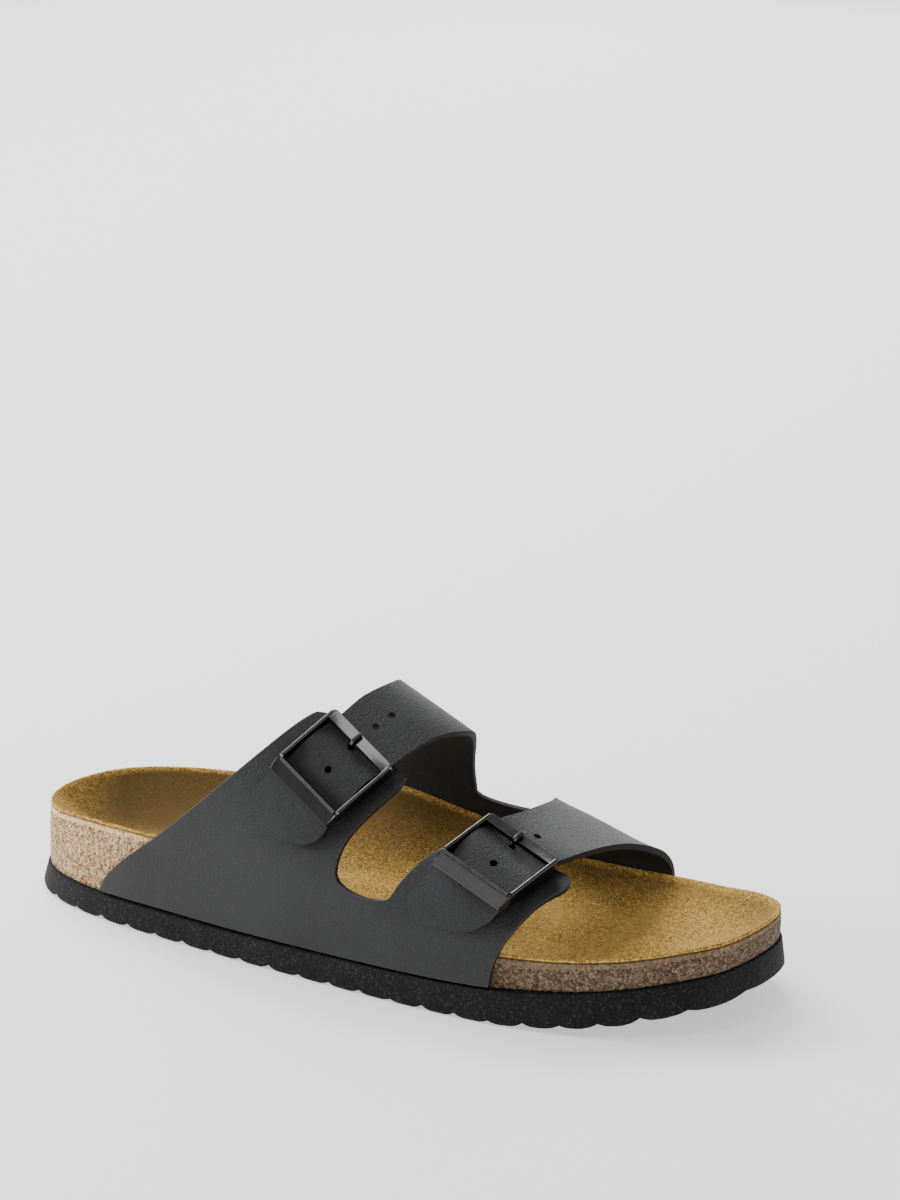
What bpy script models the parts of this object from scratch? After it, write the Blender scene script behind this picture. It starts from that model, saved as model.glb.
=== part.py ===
"""Cork footbed sandal, right foot: two strap and buckle closures on a moulded footbed.

Sizes are in millimetres in one working frame: the heel tip of the cork at x = 0, toes to +X,
big toe side to +Y, floor at z = 0. The last step moves everything so that the origin is the
middle of the bounding box seen from above. Blender gets metres.
"""

import bmesh
import bpy
import math
import numpy as np
from mathutils import Matrix, Vector

# Working frame to row frame
ORIGIN = (137.94, -6.14, 0.0)
MM = 0.001

# Footbed plan: half outlines of the cork, station by station
CORK_LENGTH = 276.0
HEEL_TIP_Y = 1.0
TOE_TIP_Y = 9.7
#        x     big toe side  little toe side
PLAN = [
    (8.0, 21.5, -16.0),
    (30.0, 32.4, -28.5),
    (62.0, 35.6, -36.1),
    (95.0, 33.3, -42.0),
    (130.0, 31.3, -46.9),
    (165.0, 36.5, -50.8),
    (195.0, 43.0, -52.3),
    (222.0, 44.6, -50.0),
    (244.0, 41.7, -43.1),
    (260.0, 34.4, -31.7),
    (270.0, 25.0, -20.7),
]

# Heights along the shoe
#        x    seam  rim big toe side  rim little toe side  bed floor  bowl power big / little
LEVELS = [
    (0.0, 8.7, 33.0, 31.0, 20.0, 2.4, 2.4),
    (30.0, 9.0, 36.0, 35.2, 19.0, 2.6, 2.6),
    (60.0, 9.5, 37.9, 36.5, 19.5, 2.6, 2.8),
    (90.0, 9.7, 41.6, 37.2, 21.5, 2.0, 3.2),
    (120.0, 10.1, 45.8, 35.4, 24.0, 1.7, 3.6),
    (150.0, 10.6, 39.5, 29.6, 23.2, 2.0, 4.0),
    (190.0, 11.7, 26.6, 24.7, 18.4, 4.5, 5.0),
    (215.0, 13.6, 25.0, 25.6, 18.0, 6.0, 6.0),
    (240.0, 16.7, 25.6, 28.0, 20.0, 5.5, 5.5),
    (262.0, 19.9, 29.2, 30.8, 23.0, 4.5, 4.5),
    (276.0, 22.2, 32.6, 32.9, 25.0, 4.0, 4.0),
]
LINING_THICK = 1.2
GAP = 0.3
METATARSAL = (172.0, -2.0, 22.0, 15.0, 2.4)
TOE_GRIP = (229.0, 5.5, 1.8)

# Outsole
#        x    proud of the cork: top edge, lower edge
FLANGE = [
    (0.0, 0.9, 2.4),
    (36.0, 1.8, 2.8),
    (60.0, 2.5, 3.0),
    (200.0, 2.5, 2.9),
    (232.0, 1.4, 2.3),
    (276.0, 0.9, 2.2),
]
#        x    underside height
SPRING = [
    (-3.0, 1.2),
    (6.0, 0.0),
    (100.0, 0.0),
    (196.0, 0.0),
    (220.0, 1.6),
    (240.0, 4.3),
    (258.0, 7.7),
    (276.0, 11.5),
    (280.0, 12.4),
]
LUG_PITCH = 12.45
LUG_FIRST = 1.45
LUG_COUNT = 23
LUG_SWEEP = 3.0
GROOVE_DEPTH = 2.9
GROOVE_WIDTH = 9.0
#         half width  depth, as shares: a cusp between two rounded lobes
GROOVE = [
    (1.0, 0.0),
    (0.62, 0.12),
    (0.30, 0.40),
    (0.0, 1.0),
]

# Last: crest line of the closed upper and the two corner powers of its cross sections
#        x   crest y  crest z  little toe power  big toe power
CREST = [
    (40.0, 0.0, 135.0, 1.8, 2.2),
    (60.0, 0.0, 125.0, 1.8, 2.2),
    (95.0, 3.0, 107.5, 1.8, 2.3),
    (125.0, 5.0, 91.0, 1.8, 2.4),
    (155.0, 3.0, 75.3, 1.8, 2.4),
    (190.0, -16.0, 54.0, 2.1, 2.6),
    (220.0, -16.0, 45.3, 2.1, 1.9),
    (250.0, -15.0, 39.0, 2.0, 1.8),
]
UPPER_THICK = 2.2

# Quarters: pattern rows on the last. Place is (x, t), t runs round the section from 0 at the
# little toe seam to 1 at the big toe seam. Lift is the clearance of the inner face.
#        heel x   heel t   toe x    toe t    lift
LATERAL_REAR = [
    (36.5, 0.003, 139.0, 0.003, 0.0),
    (38.5, 0.021, 139.0, 0.050, 0.0),
    (43.1, 0.042, 138.4, 0.100, 0.0),
    (54.0, 0.078, 136.8, 0.160, 0.0),
    (64.4, 0.113, 137.5, 0.190, 0.0),
    (76.9, 0.165, 140.0, 0.226, 0.0),
    (88.1, 0.217, 143.2, 0.258, 0.0),
    (97.7, 0.269, 147.0, 0.298, 0.0),
    (105.6, 0.321, 149.8, 0.332, 0.0),
    (110.6, 0.362, 151.2, 0.354, 0.0),
    (116.0, 0.404, 151.4, 0.377, 0.0),
]
LATERAL_FRONT = [
    (157.0, 0.003, 197.8, 0.003, 0.0),
    (157.0, 0.050, 198.3, 0.038, 0.0),
    (157.8, 0.100, 200.2, 0.077, 0.0),
    (159.4, 0.158, 202.7, 0.114, 0.0),
    (163.2, 0.190, 206.8, 0.156, 0.6),
    (167.3, 0.226, 210.1, 0.194, 1.6),
    (172.3, 0.267, 213.8, 0.236, 1.2),
    (177.0, 0.298, 216.0, 0.266, 0.1),
    (180.5, 0.322, 216.8, 0.295, 0.0),
    (182.5, 0.345, 215.2, 0.330, 0.0),
]
MEDIAL_REAR = [
    (57.0, 0.997, 153.0, 0.997, 0.0),
    (60.0, 0.940, 153.0, 0.930, 0.0),
    (68.0, 0.890, 152.8, 0.865, 0.0),
    (80.0, 0.840, 151.6, 0.798, 0.0),
    (96.0, 0.782, 150.4, 0.757, 0.0),
    (111.0, 0.724, 151.6, 0.717, 0.0),
    (121.5, 0.664, 153.4, 0.672, 0.1),
    (127.4, 0.604, 155.6, 0.622, 0.6),
    (129.3, 0.546, 156.2, 0.568, 1.6),
    (128.1, 0.499, 153.6, 0.510, 2.6),
    (125.3, 0.455, 150.6, 0.454, 3.2),
    (124.2, 0.422, 147.9, 0.396, 3.7),
    (122.7, 0.397, 145.2, 0.362, 3.9),
    (120.6, 0.373, 142.8, 0.337, 4.3),
    (118.3, 0.350, 141.0, 0.315, 6.1),
    (116.7, 0.335, 139.4, 0.298, 5.6),
    (114.6, 0.316, 137.1, 0.274, 4.4),
    (111.8, 0.292, 134.6, 0.252, 3.7),
    (107.3, 0.267, 133.2, 0.236, 3.5),
    (103.2, 0.243, 132.2, 0.222, 2.6),
    (101.2, 0.218, 131.0, 0.207, 2.5),
    (100.6, 0.194, 129.6, 0.193, 2.5),
    (100.9, 0.176, 128.6, 0.181, 2.5),
]
MEDIAL_FRONT = [
    (176.0, 0.997, 224.0, 0.997, 0.0),
    (176.0, 0.930, 223.7, 0.940, 0.0),
    (176.2, 0.865, 222.6, 0.890, 0.0),
    (177.0, 0.804, 221.8, 0.838, 0.0),
    (180.6, 0.760, 221.2, 0.785, 0.0),
    (184.8, 0.706, 220.6, 0.732, 0.2),
    (187.4, 0.640, 219.7, 0.679, 0.8),
    (188.0, 0.560, 218.2, 0.598, 1.9),
    (187.2, 0.480, 216.2, 0.490, 2.9),
    (185.6, 0.415, 212.6, 0.374, 3.6),
    (184.0, 0.390, 210.2, 0.340, 3.8),
    (183.3, 0.372, 208.9, 0.321, 3.6),
    (182.7, 0.353, 207.9, 0.298, 3.5),
    (181.9, 0.331, 206.8, 0.275, 4.8),
    (181.1, 0.315, 205.9, 0.258, 6.0),
    (180.2, 0.295, 204.8, 0.238, 6.0),
    (179.2, 0.276, 203.7, 0.218, 5.5),
    (179.0, 0.263, 202.8, 0.204, 5.6),
    (178.4, 0.245, 201.7, 0.187, 5.8),
    (176.6, 0.227, 200.4, 0.174, 5.4),
    (172.2, 0.204, 199.0, 0.163, 4.6),
    (168.6, 0.178, 197.2, 0.153, 3.6),
    (165.6, 0.152, 196.0, 0.141, 3.0),
    (165.0, 0.124, 195.4, 0.124, 2.6),
]
BASE_ROWS = 4
ROW_STEPS = 2
LATERAL_SAG = -0.024
MEDIAL_SAG = 0.010
TAB_ROUND = 8.0
ARM_ROUND = 2.5

# Buckles: centre of the top plane, direction along the strap, direction across it
REAR_PLACE = ((130.4, -37.0, 76.3), (0.504, 0.647, 0.572), (0.843, -0.222, -0.490))
FRONT_PLACE = ((195.0, -41.5, 55.8), (0.290, 0.916, 0.278), (0.927, -0.195, -0.326))
FRAME_ACROSS = 31.0
FRAME_ALONG = 26.2
RAIL_WIDE = 1.5
RAIL_TALL = 5.0
BAR_WIDE = 4.0
BAR_DROP = 0.3
BAR_THICK = 2.0
RIDGE_WIDE = 1.1
PLATE_OUT = 4.5
PLATE_FALL = 2.2
PLATE_THICK = 1.3
PLATE_TAPER = 1.6
HINGE_AT = (3.0, -4.5)
HINGE_RADIUS = 0.7
#        along   height  radius
PRONG = [
    (3.81, -5.31, 0.35),
    (3.00, -5.65, 0.35),
    (2.19, -5.31, 0.35),
    (1.85, -4.50, 0.35),
    (2.19, -3.69, 0.35),
    (3.00, -3.35, 0.35),
    (3.81, -3.72, 0.35),
    (4.40, -4.40, 0.35),
    (5.10, -5.02, 0.35),
    (6.10, -5.25, 0.38),
    (7.05, -5.05, 0.45),
    (7.60, -3.90, 0.55),
    (7.90, -1.60, 0.62),
    (8.25, 0.10, 0.70),
    (9.05, 0.80, 0.75),
    (9.90, 0.90, 0.85),
    (12.40, 0.80, 0.80),
    (12.80, 0.78, 0.45),
]
PRONG_ACROSS = -1.0
HOLE_RADIUS = 1.3
HOLE_FROM = -16.0
HOLE_TO = 6.0
#             along  across
REAR_HOLES = [(-3.6, 0.2), (7.7, -1.0), (19.5, -2.6), (27.0, -3.6)]
FRONT_HOLES = [(-3.6, 0.2), (7.7, -1.0), (20.0, 0.0)]

# Footbed rings from the edge (1) to the spine (0), and points along each side of the plan
RINGS = (1.0, 0.955, 0.885, 0.78, 0.63, 0.44, 0.22, 0.0)
SIDE_STEPS = 30
SPINE_FROM = 34.0
SPINE_TO = 240.0
FOOT_MIDDLE = (138.0, 0.0, 30.0)

# Colours, roughness and metallic of the materials
FOAM = ((0.02, 0.02, 0.022), 0.75, 0.0)
CORK = ((0.42, 0.27, 0.16), 0.85, 0.0)
SUEDE = ((0.48, 0.28, 0.09), 0.9, 0.0)
LEATHER = ((0.028, 0.028, 0.03), 0.5, 0.0)
METAL = ((0.05, 0.05, 0.055), 0.28, 0.9)


def curve(table, column, x):
    """Value of one table column at x, smooth and without overshoot."""
    xs = np.array([row[0] for row in table])
    ys = np.array([row[column] for row in table])
    secant = np.diff(ys) / np.diff(xs)
    same = secant[1:] * secant[:-1] > 0.0
    both = np.where(same, secant[1:] + secant[:-1], 1.0)
    inner = np.where(same, 2.0 * secant[1:] * secant[:-1] / both, 0.0)
    slopes = np.concatenate([secant[:1], inner, secant[-1:]])
    x = np.clip(np.asarray(x, float), xs[0], xs[-1])
    k = np.clip(np.searchsorted(xs, x) - 1, 0, len(xs) - 2)
    h = xs[k + 1] - xs[k]
    s = (x - xs[k]) / h
    a = (1 + 2 * s) * (1 - s) ** 2 * ys[k] + s * (1 - s) ** 2 * h * slopes[k]
    b = s * s * (3 - 2 * s) * ys[k + 1] - s * s * (1 - s) * h * slopes[k + 1]
    return a + b


def closed_spline(points, count):
    """Periodic cubic spline through the points, evenly stepped in its own parameter."""
    p = np.array(points, float)
    n = len(p)
    h = np.sqrt(np.linalg.norm(np.roll(p, -1, axis=0) - p, axis=1))
    system = np.zeros((n, n))
    right = np.zeros((n, 2))
    for i in range(n):
        before, after = h[i - 1], h[i]
        system[i, i - 1] += before
        system[i, i] += 2 * (before + after)
        system[i, (i + 1) % n] += after
        right[i] = 6 * ((p[(i + 1) % n] - p[i]) / after - (p[i] - p[i - 1]) / before)
    bend = np.linalg.solve(system, right)
    knots = np.concatenate([[0.0], np.cumsum(h)])
    out = []
    for t in np.linspace(0.0, knots[-1], count, endpoint=False):
        i = min(int(np.searchsorted(knots, t, side="right")) - 1, n - 1)
        j = (i + 1) % n
        a = (knots[i + 1] - t) / h[i]
        b = 1.0 - a
        cubic = ((a ** 3 - a) * bend[i] + (b ** 3 - b) * bend[j]) * h[i] ** 2 / 6
        out.append(a * p[i] + b * p[j] + cubic)
    return np.array(out)


def half_outlines():
    """Dense plan outline split in its two sides, both sorted from heel to toe."""
    little = [(x, low) for x, high, low in PLAN]
    big = [(x, high) for x, high, low in reversed(PLAN)]
    knots = [(0.0, HEEL_TIP_Y)] + little + [(CORK_LENGTH, TOE_TIP_Y)] + big
    loop = closed_spline(knots, 1200)
    tip = int(np.argmax(loop[:, 0]))
    tail = int(np.argmin(loop[:, 0]))
    loop = np.roll(loop, -tail, axis=0)
    tip = (tip - tail) % len(loop)
    one = loop[: tip + 1]
    two = np.vstack([loop[tip:], loop[:1]])[::-1]
    return (one, two) if one[len(one) // 2, 1] < 0 else (two, one)


LITTLE, BIG = half_outlines()


def side_y(x, big):
    """Plan edge at x on one side."""
    half = BIG if big else LITTLE
    return float(np.interp(x, half[:, 0], half[:, 1]))


def plan_loop(steps, grow):
    """Outline points, little toe side first: x, y, side, and their foot on the spine.

    The outline is grown by a number, or by a function of x.

    The spine is the middle line that the rings of the footbed close on. Both sides share its
    points, so the two halves meet there.
    """
    halves = []
    for big, half in ((False, LITTLE), (True, BIG)):
        length = np.concatenate([[0.0], np.cumsum(np.linalg.norm(np.diff(half, axis=0), axis=1))])
        at = np.linspace(0.0, length[-1], steps + 1)
        pts = np.stack([np.interp(at, length, half[:, k]) for k in (0, 1)], axis=1)
        ahead = np.stack([np.interp(at + 0.5, length, half[:, k]) for k in (0, 1)], axis=1)
        behind = np.stack([np.interp(at - 0.5, length, half[:, k]) for k in (0, 1)], axis=1)
        tangent = ahead - behind
        tangent[0] = (0.0, 1.0 if big else -1.0)
        tangent[-1] = (0.0, -1.0 if big else 1.0)
        tangent /= np.linalg.norm(tangent, axis=1)[:, None]
        turn = 1.0 if big else -1.0
        normal = np.stack([-tangent[:, 1] * turn, tangent[:, 0] * turn], axis=1)
        wide = grow(pts[:, 0]) if callable(grow) else grow
        halves.append(pts + normal * np.reshape(wide, (-1, 1)))
    middle = []
    for k in range(steps + 1):
        share = 0.5 * (halves[0][k, 0] + halves[1][k, 0]) / CORK_LENGTH
        at = SPINE_FROM + (SPINE_TO - SPINE_FROM) * min(max(share, 0.0), 1.0)
        middle.append((at, 0.5 * (side_y(at, True) + side_y(at, False))))
    little = [(*halves[0][k], False, middle[k]) for k in range(steps)]
    return little + [(*halves[1][k], True, middle[k]) for k in range(steps, 0, -1)]


def ring(loop, s):
    """The loop drawn towards the spine, s = 1 at the edge and 0 on the spine."""
    return [(cx + (x - cx) * s, cy + (y - cy) * s, big) for x, y, big, (cx, cy) in loop]


def bed_height(x, y, big, s):
    """Top of the lining: rim, heel bowl, arch, metatarsal rise and toe grip."""
    floor = float(curve(LEVELS, 4, x))
    rim = float(curve(LEVELS, 2 if big else 3, x))
    middle = 0.5 * float(curve(LEVELS, 2, x)) + 0.5 * float(curve(LEVELS, 3, x))
    tips = min(max(min(x, CORK_LENGTH - x) / 12.0, 0.0), 1.0)
    rim = middle + (rim - middle) * tips ** 0.5
    power = float(curve(LEVELS, 5 if big else 6, x))
    z = floor + (rim - floor) * s ** power
    mx, my, length, width, rise = METATARSAL
    away = ((x - mx) / length) ** 2 + ((y - my) / width) ** 2
    z += rise * math.exp(-away) * (1 - s ** 4)
    gx, half, rise = TOE_GRIP
    bow = gx + 6.0 - 0.006 * (y + 4.0) ** 2
    z += rise * math.exp(-((x - bow) / half) ** 2) * (1 - s ** 3)
    return z


def section(x):
    """Inner cross section of the closed upper, little toe seam to big toe seam."""
    low, high = side_y(x, False) - GAP, side_y(x, True) + GAP
    seam = float(curve(LEVELS, 1, x)) + GAP
    rim_low, rim_high = float(curve(LEVELS, 3, x)), float(curve(LEVELS, 2, x))
    cy, cz = float(curve(CREST, 1, x)), float(curve(CREST, 2, x))
    p_low, p_high = 2.0 / float(curve(CREST, 3, x)), 2.0 / float(curve(CREST, 4, x))
    a = np.linspace(0.0, math.pi / 2, 36)
    c, s = np.clip(np.cos(a), 0, 1), np.sin(a)
    left = np.stack([cy + (low - cy) * c ** p_low, rim_low + (cz - rim_low) * s ** p_low], 1)
    right = np.stack([cy + (high - cy) * s ** p_high, rim_high + (cz - rim_high) * c ** p_high], 1)
    start = np.array([[low, seam]])
    end = np.array([[high, seam]])
    return np.vstack([start, left, right[1:], end])


def on_last(x, t):
    """Point of the last at pattern place (x, t)."""
    line = section(x)
    length = np.concatenate([[0.0], np.cumsum(np.linalg.norm(np.diff(line, axis=0), axis=1))])
    at = min(max(t, 0.0), 1.0) * length[-1]
    return Vector((x, float(np.interp(at, length, line[:, 0])), float(np.interp(at, length, line[:, 1]))))


def lifted(x, t, lift):
    """Last point moved out along the normal."""
    here = on_last(x, t)
    if lift == 0.0:
        return here
    along = on_last(x + 1.5, t) - on_last(x - 1.5, t)
    round_ = on_last(x, t + 0.01) - on_last(x, t - 0.01)
    normal = round_.cross(along).normalized()
    return here - normal * lift


def row_place(point):
    """Working frame in millimetres to row frame in metres."""
    return (Vector(point) - Vector(ORIGIN)) * MM


def store_in(collection, obj):
    """Link an object to the named collection, made when it is first asked for."""
    store = bpy.data.collections.get(collection)
    if store is None:
        store = bpy.data.collections.new(collection)
        bpy.context.scene.collection.children.link(store)
    store.objects.link(obj)


def new_object(name, data, look):
    """Link a mesh or a curve as a named piece with its own material."""
    color, rough, metal = look
    obj = bpy.data.objects.new(name, data)
    store_in("Sandal", obj)
    mat = bpy.data.materials.new(name)
    mat.use_nodes = True
    shader = mat.node_tree.nodes["Principled BSDF"]
    shader.inputs["Base Color"].default_value = (*color, 1.0)
    shader.inputs["Roughness"].default_value = rough
    shader.inputs["Metallic"].default_value = metal
    mat.diffuse_color = (*color, 1.0)
    data.materials.append(mat)
    if obj.type == "MESH":
        data.shade_smooth()
        data.set_sharp_from_angle(angle=math.radians(40.0))
    return obj


def grid_mesh(rows, bm):
    """Lay a Blender grid through the rows of points."""
    lines, across = len(rows), len(rows[0])
    made = bmesh.ops.create_grid(bm, x_segments=across - 1, y_segments=lines - 1, size=1.0)
    verts = sorted(made["verts"], key=lambda v: (round(v.co.y, 5), round(v.co.x, 5)))
    for vert, place in zip(verts, (p for row in rows for p in row)):
        vert.co = row_place(place)


def finish_mesh(name, bm):
    """Merge the seams, drop crushed faces and turn all faces outwards."""
    bmesh.ops.remove_doubles(bm, verts=bm.verts, dist=0.00001)
    bmesh.ops.dissolve_degenerate(bm, dist=0.000005, edges=bm.edges)
    bmesh.ops.recalc_face_normals(bm, faces=bm.faces)
    mesh = bpy.data.meshes.new(name)
    bm.to_mesh(mesh)
    bm.free()
    return mesh


def skin(name, rows, split=False):
    """Closed surface through rows of points, each row a closed loop, ends drawn shut.

    With split the faces are cut on their short diagonal, so that two pieces made from the
    same rows keep an even gap.
    """
    bm = bmesh.new()
    grid_mesh([list(row) + [row[0]] for row in rows], bm)
    if split:
        bmesh.ops.triangulate(bm, faces=bm.faces, quad_method="SHORT_EDGE")
    return finish_mesh(name, bm)


def modify(obj, kind, **values):
    """Add a modifier and set its values."""
    mod = obj.modifiers.new(kind.title(), kind)
    for key, value in values.items():
        setattr(mod, key, value)
    return mod


def make_cutter(name, mesh):
    """Cutters live in their own collection and never render."""
    obj = bpy.data.objects.new(name, mesh)
    store_in("Cutters", obj)
    obj.hide_render = True
    obj.display_type = "WIRE"
    return obj


def build_outsole():
    """Outsole: flanged slab with toe spring, then the cross grooves cut from below."""
    top = plan_loop(SIDE_STEPS, lambda x: curve(FLANGE, 1, x))
    low = plan_loop(SIDE_STEPS, lambda x: curve(FLANGE, 2, x))
    rows = []
    for s in (0.0, 0.4, 0.75, 1.0):
        rows.append([(x, y, float(curve(SPRING, 1, x))) for x, y, big in ring(low, s)])
    for s in (1.0, 0.6, 0.0):
        rows.append([(x, y, float(curve(LEVELS, 1, x)) - GAP / 2) for x, y, big in ring(top, s)])
    sole = new_object("outsole", skin("outsole", rows), FOAM)
    bm = bmesh.new()
    half = GROOVE_WIDTH / 2
    side = [(wide * half, deep * GROOVE_DEPTH) for wide, deep in GROOVE]
    profile = [(-half, -3.0)] + [(-a, b) for a, b in side] + side[-2::-1] + [(half, -3.0)]
    for k in range(1, LUG_COUNT):
        x0 = LUG_FIRST + LUG_PITCH * k
        z0 = float(curve(SPRING, 1, x0))
        slope = float(curve(SPRING, 1, x0 + 1.0) - curve(SPRING, 1, x0 - 1.0)) / 2
        c, s = math.cos(math.atan(slope)), math.sin(math.atan(slope))
        rows = []
        for j in range(7):
            y = -70.0 + 22.0 * j
            xm = x0 + LUG_SWEEP * (math.cos((y + 4.0) / 22.0) - 1.0) * 0.5
            rows.append([(xm + a * c - b * s, y, z0 + a * s + b * c) for a, b in profile])
        ends = [[rows[0][0]] * len(profile), [rows[-1][0]] * len(profile)]
        grid_mesh([list(r) + [r[0]] for r in [ends[0]] + rows + [ends[1]]], bm)
    cutter = make_cutter("outsole_groove_cutter", finish_mesh("outsole_groove_cutter", bm))
    modify(sole, "BOOLEAN", operation="DIFFERENCE", object=cutter, solver="EXACT")
    return sole


def bed_rows(loop, drop):
    """Rings of the bed surface from the rim to the spine, lowered by drop."""
    rows = []
    for s in RINGS:
        rows.append([(x, y, bed_height(x, y, big, s) - drop) for x, y, big in ring(loop, s)])
    return rows


def build_footbed():
    """Cork block and the suede lining over its whole top."""
    loop = plan_loop(SIDE_STEPS, 0.0)
    rows = []
    for s in (0.0, 0.5, 1.0):
        rows.append([(x, y, float(curve(LEVELS, 1, x)) + GAP / 2) for x, y, big in ring(loop, s)])
    rows += bed_rows(loop, LINING_THICK + GAP)
    new_object("cork_footbed", skin("cork_footbed", rows, True), CORK)
    rows = bed_rows(loop, LINING_THICK)[::-1] + bed_rows(loop, 0.0)
    new_object("suede_lining", skin("suede_lining", rows, True), SUEDE)


def dense(table):
    """Pattern table with extra smooth rows between the given ones."""
    keyed = [(float(i), *row) for i, row in enumerate(table)]
    at = np.linspace(0.0, len(table) - 1.0, (len(table) - 1) * ROW_STEPS + 1)
    return [[float(curve(keyed, c, k)) for c in range(1, 6)] for k in at]


def band(rows, cells, round_to, from_end):
    """Pattern rows to points; the end corners are pulled in on a quarter circle."""
    out = []
    for hx, ht, tx, tt, lift in rows:
        back = from_end(0.5 * (hx + tx), 0.5 * (ht + tt))
        pull = 0.0
        if back < round_to:
            pull = round_to - math.sqrt(max(round_to ** 2 - (round_to - back) ** 2, 0.0))
        wide = (on_last(tx, tt) - on_last(hx, ht)).length
        cut = pull / wide
        line = []
        for k in range(cells + 1):
            w = cut + (1.0 - 2.0 * cut) * k / cells
            line.append(lifted(hx + (tx - hx) * w, ht + (tt - ht) * w, lift))
        out.append(line)
    return out


def quarter(name, rear, front, sag, radius, cells):
    """One panel: a shared foot, two arms, and the cut between them."""
    rear, front = dense(rear), dense(front)
    foot = (BASE_ROWS - 1) * ROW_STEPS + 1
    bm = bmesh.new()
    for rows, count in ((rear, cells[0]), (front, cells[2])):
        ends = [0.5 * (r[1] + r[3]) for r in rows]
        middle = [on_last(0.5 * (r[0] + r[2]), t) for r, t in zip(rows, ends)]
        left = [0.0]
        for a, b in zip(middle[::-1], middle[-2::-1]):
            left.append(left[-1] + (a - b).length)
        left = left[::-1]
        places = iter(left)
        grid_mesh(band(rows, count, radius, lambda x, t: next(places)), bm)
    rows = []
    for k in range(foot):
        (hx, ht), (tx, tt) = rear[k][2:4], front[k][0:2]
        line = []
        for j in range(cells[1] + 1):
            w = j / cells[1]
            dip = sag * math.sqrt(max(1.0 - (2.0 * w - 1.0) ** 2, 0.0)) if k == foot - 1 else 0.0
            lift = rear[k][4] + (front[k][4] - rear[k][4]) * w
            line.append(lifted(hx + (tx - hx) * w, ht + (tt - ht) * w + dip, lift))
        rows.append(line)
    grid_mesh(rows, bm)
    bmesh.ops.remove_doubles(bm, verts=bm.verts, dist=0.0001)
    bmesh.ops.recalc_face_normals(bm, faces=bm.faces)
    probe = max(bm.faces, key=lambda f: f.calc_area())
    if probe.normal.dot(probe.calc_center_median() - row_place(FOOT_MIDDLE)) < 0:
        bmesh.ops.reverse_faces(bm, faces=bm.faces)
    mesh = bpy.data.meshes.new(name)
    bm.to_mesh(mesh)
    bm.free()
    obj = new_object(name, mesh, LEATHER)
    modify(obj, "SOLIDIFY", thickness=UPPER_THICK * MM, offset=1.0, use_even_offset=True)
    return obj


def placed(place, u, v, w):
    """Point of a buckle: u along the strap, v across it, w above its top plane."""
    centre, along, across = (Vector(p) for p in place)
    along = along.normalized()
    across = (across - along * across.dot(along)).normalized()
    up = across.cross(along)
    if up.z < 0:
        up = -up
    return centre + along * u + across * v + up * w


def rod(bm, start, end, radius, sides):
    """Closed cylinder between two places of the working frame."""
    a, b = row_place(start), row_place(end)
    turn = (b - a).to_track_quat("Z", "Y").to_matrix().to_4x4()
    bmesh.ops.create_cone(bm, cap_ends=True, segments=sides, radius1=radius * MM,
                          radius2=radius * MM, depth=(b - a).length,
                          matrix=Matrix.Translation((a + b) / 2) @ turn)


def build_holes(name, obj, place, holes):
    """Punch the round holes of a strap along the buckle's own upright."""
    bm = bmesh.new()
    for u, v in holes:
        rod(bm, placed(place, u, v, HOLE_FROM), placed(place, u, v, HOLE_TO), HOLE_RADIUS, 12)
    cutter = make_cutter(name, finish_mesh(name, bm))
    modify(obj, "BOOLEAN", operation="DIFFERENCE", object=cutter, solver="EXACT")


def build_buckle(prefix, place):
    """Frame, hinge bar and prong of one buckle."""
    half_v, half_u = FRAME_ACROSS / 2, FRAME_ALONG / 2
    in_v, deep = half_v - RAIL_WIDE, -RAIL_TALL
    low, high = -BAR_DROP - BAR_THICK, -BAR_DROP

    def corner(su, sv):
        inner = half_u - (BAR_WIDE if su > 0 else RIDGE_WIDE)
        return [
            (su * inner, sv * in_v, deep),
            (su * half_u, sv * half_v, deep),
            (su * half_u, sv * half_v, 0.0),
            (su * inner, sv * in_v, 0.0),
        ]

    def band_bar(sv):
        v = sv * (in_v - 0.6)
        inner = half_u - BAR_WIDE
        return [(inner, v, low), (half_u, v, low), (half_u, v, high), (inner, v, high)]

    def plate(sv):
        v = sv * (half_v - PLATE_TAPER)
        inner, outer = -half_u + RIDGE_WIDE, -half_u - PLATE_OUT
        fall = -PLATE_FALL
        return [(inner, v, low), (outer, v, fall - PLATE_THICK), (outer, v, fall), (inner, v, 0.0)]

    stations = [corner(1, -1), band_bar(-1), band_bar(1), corner(1, 1)]
    stations += [corner(-1, 1), plate(1), plate(-1), corner(-1, -1), corner(1, -1)]
    bm = bmesh.new()
    grid_mesh([[placed(place, *p) for p in st + st[:1]] for st in stations], bm)
    mesh = finish_mesh(prefix + "_frame", bm)
    frame = new_object(prefix + "_frame", mesh, METAL)
    modify(frame, "BEVEL", width=0.35 * MM, segments=2, limit_method="ANGLE", angle_limit=0.6)

    hinge_u, hinge_w = HINGE_AT
    reach = in_v - GAP
    bm = bmesh.new()
    ends = [placed(place, hinge_u, v, hinge_w) for v in (-reach, reach)]
    rod(bm, *ends, HINGE_RADIUS, 14)
    new_object(prefix + "_bar", finish_mesh(prefix + "_bar", bm), METAL)

    line = bpy.data.curves.new(prefix + "_prong", "CURVE")
    line.dimensions = "3D"
    line.bevel_depth = MM
    line.bevel_resolution = 2
    line.use_fill_caps = True
    spline = line.splines.new("POLY")
    spline.points.add(len(PRONG) - 1)
    for point, (u, w, radius) in zip(spline.points, PRONG):
        point.co = (*row_place(placed(place, u, PRONG_ACROSS, w)), 1.0)
        point.radius = radius
    new_object(prefix + "_prong", line, METAL)


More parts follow.
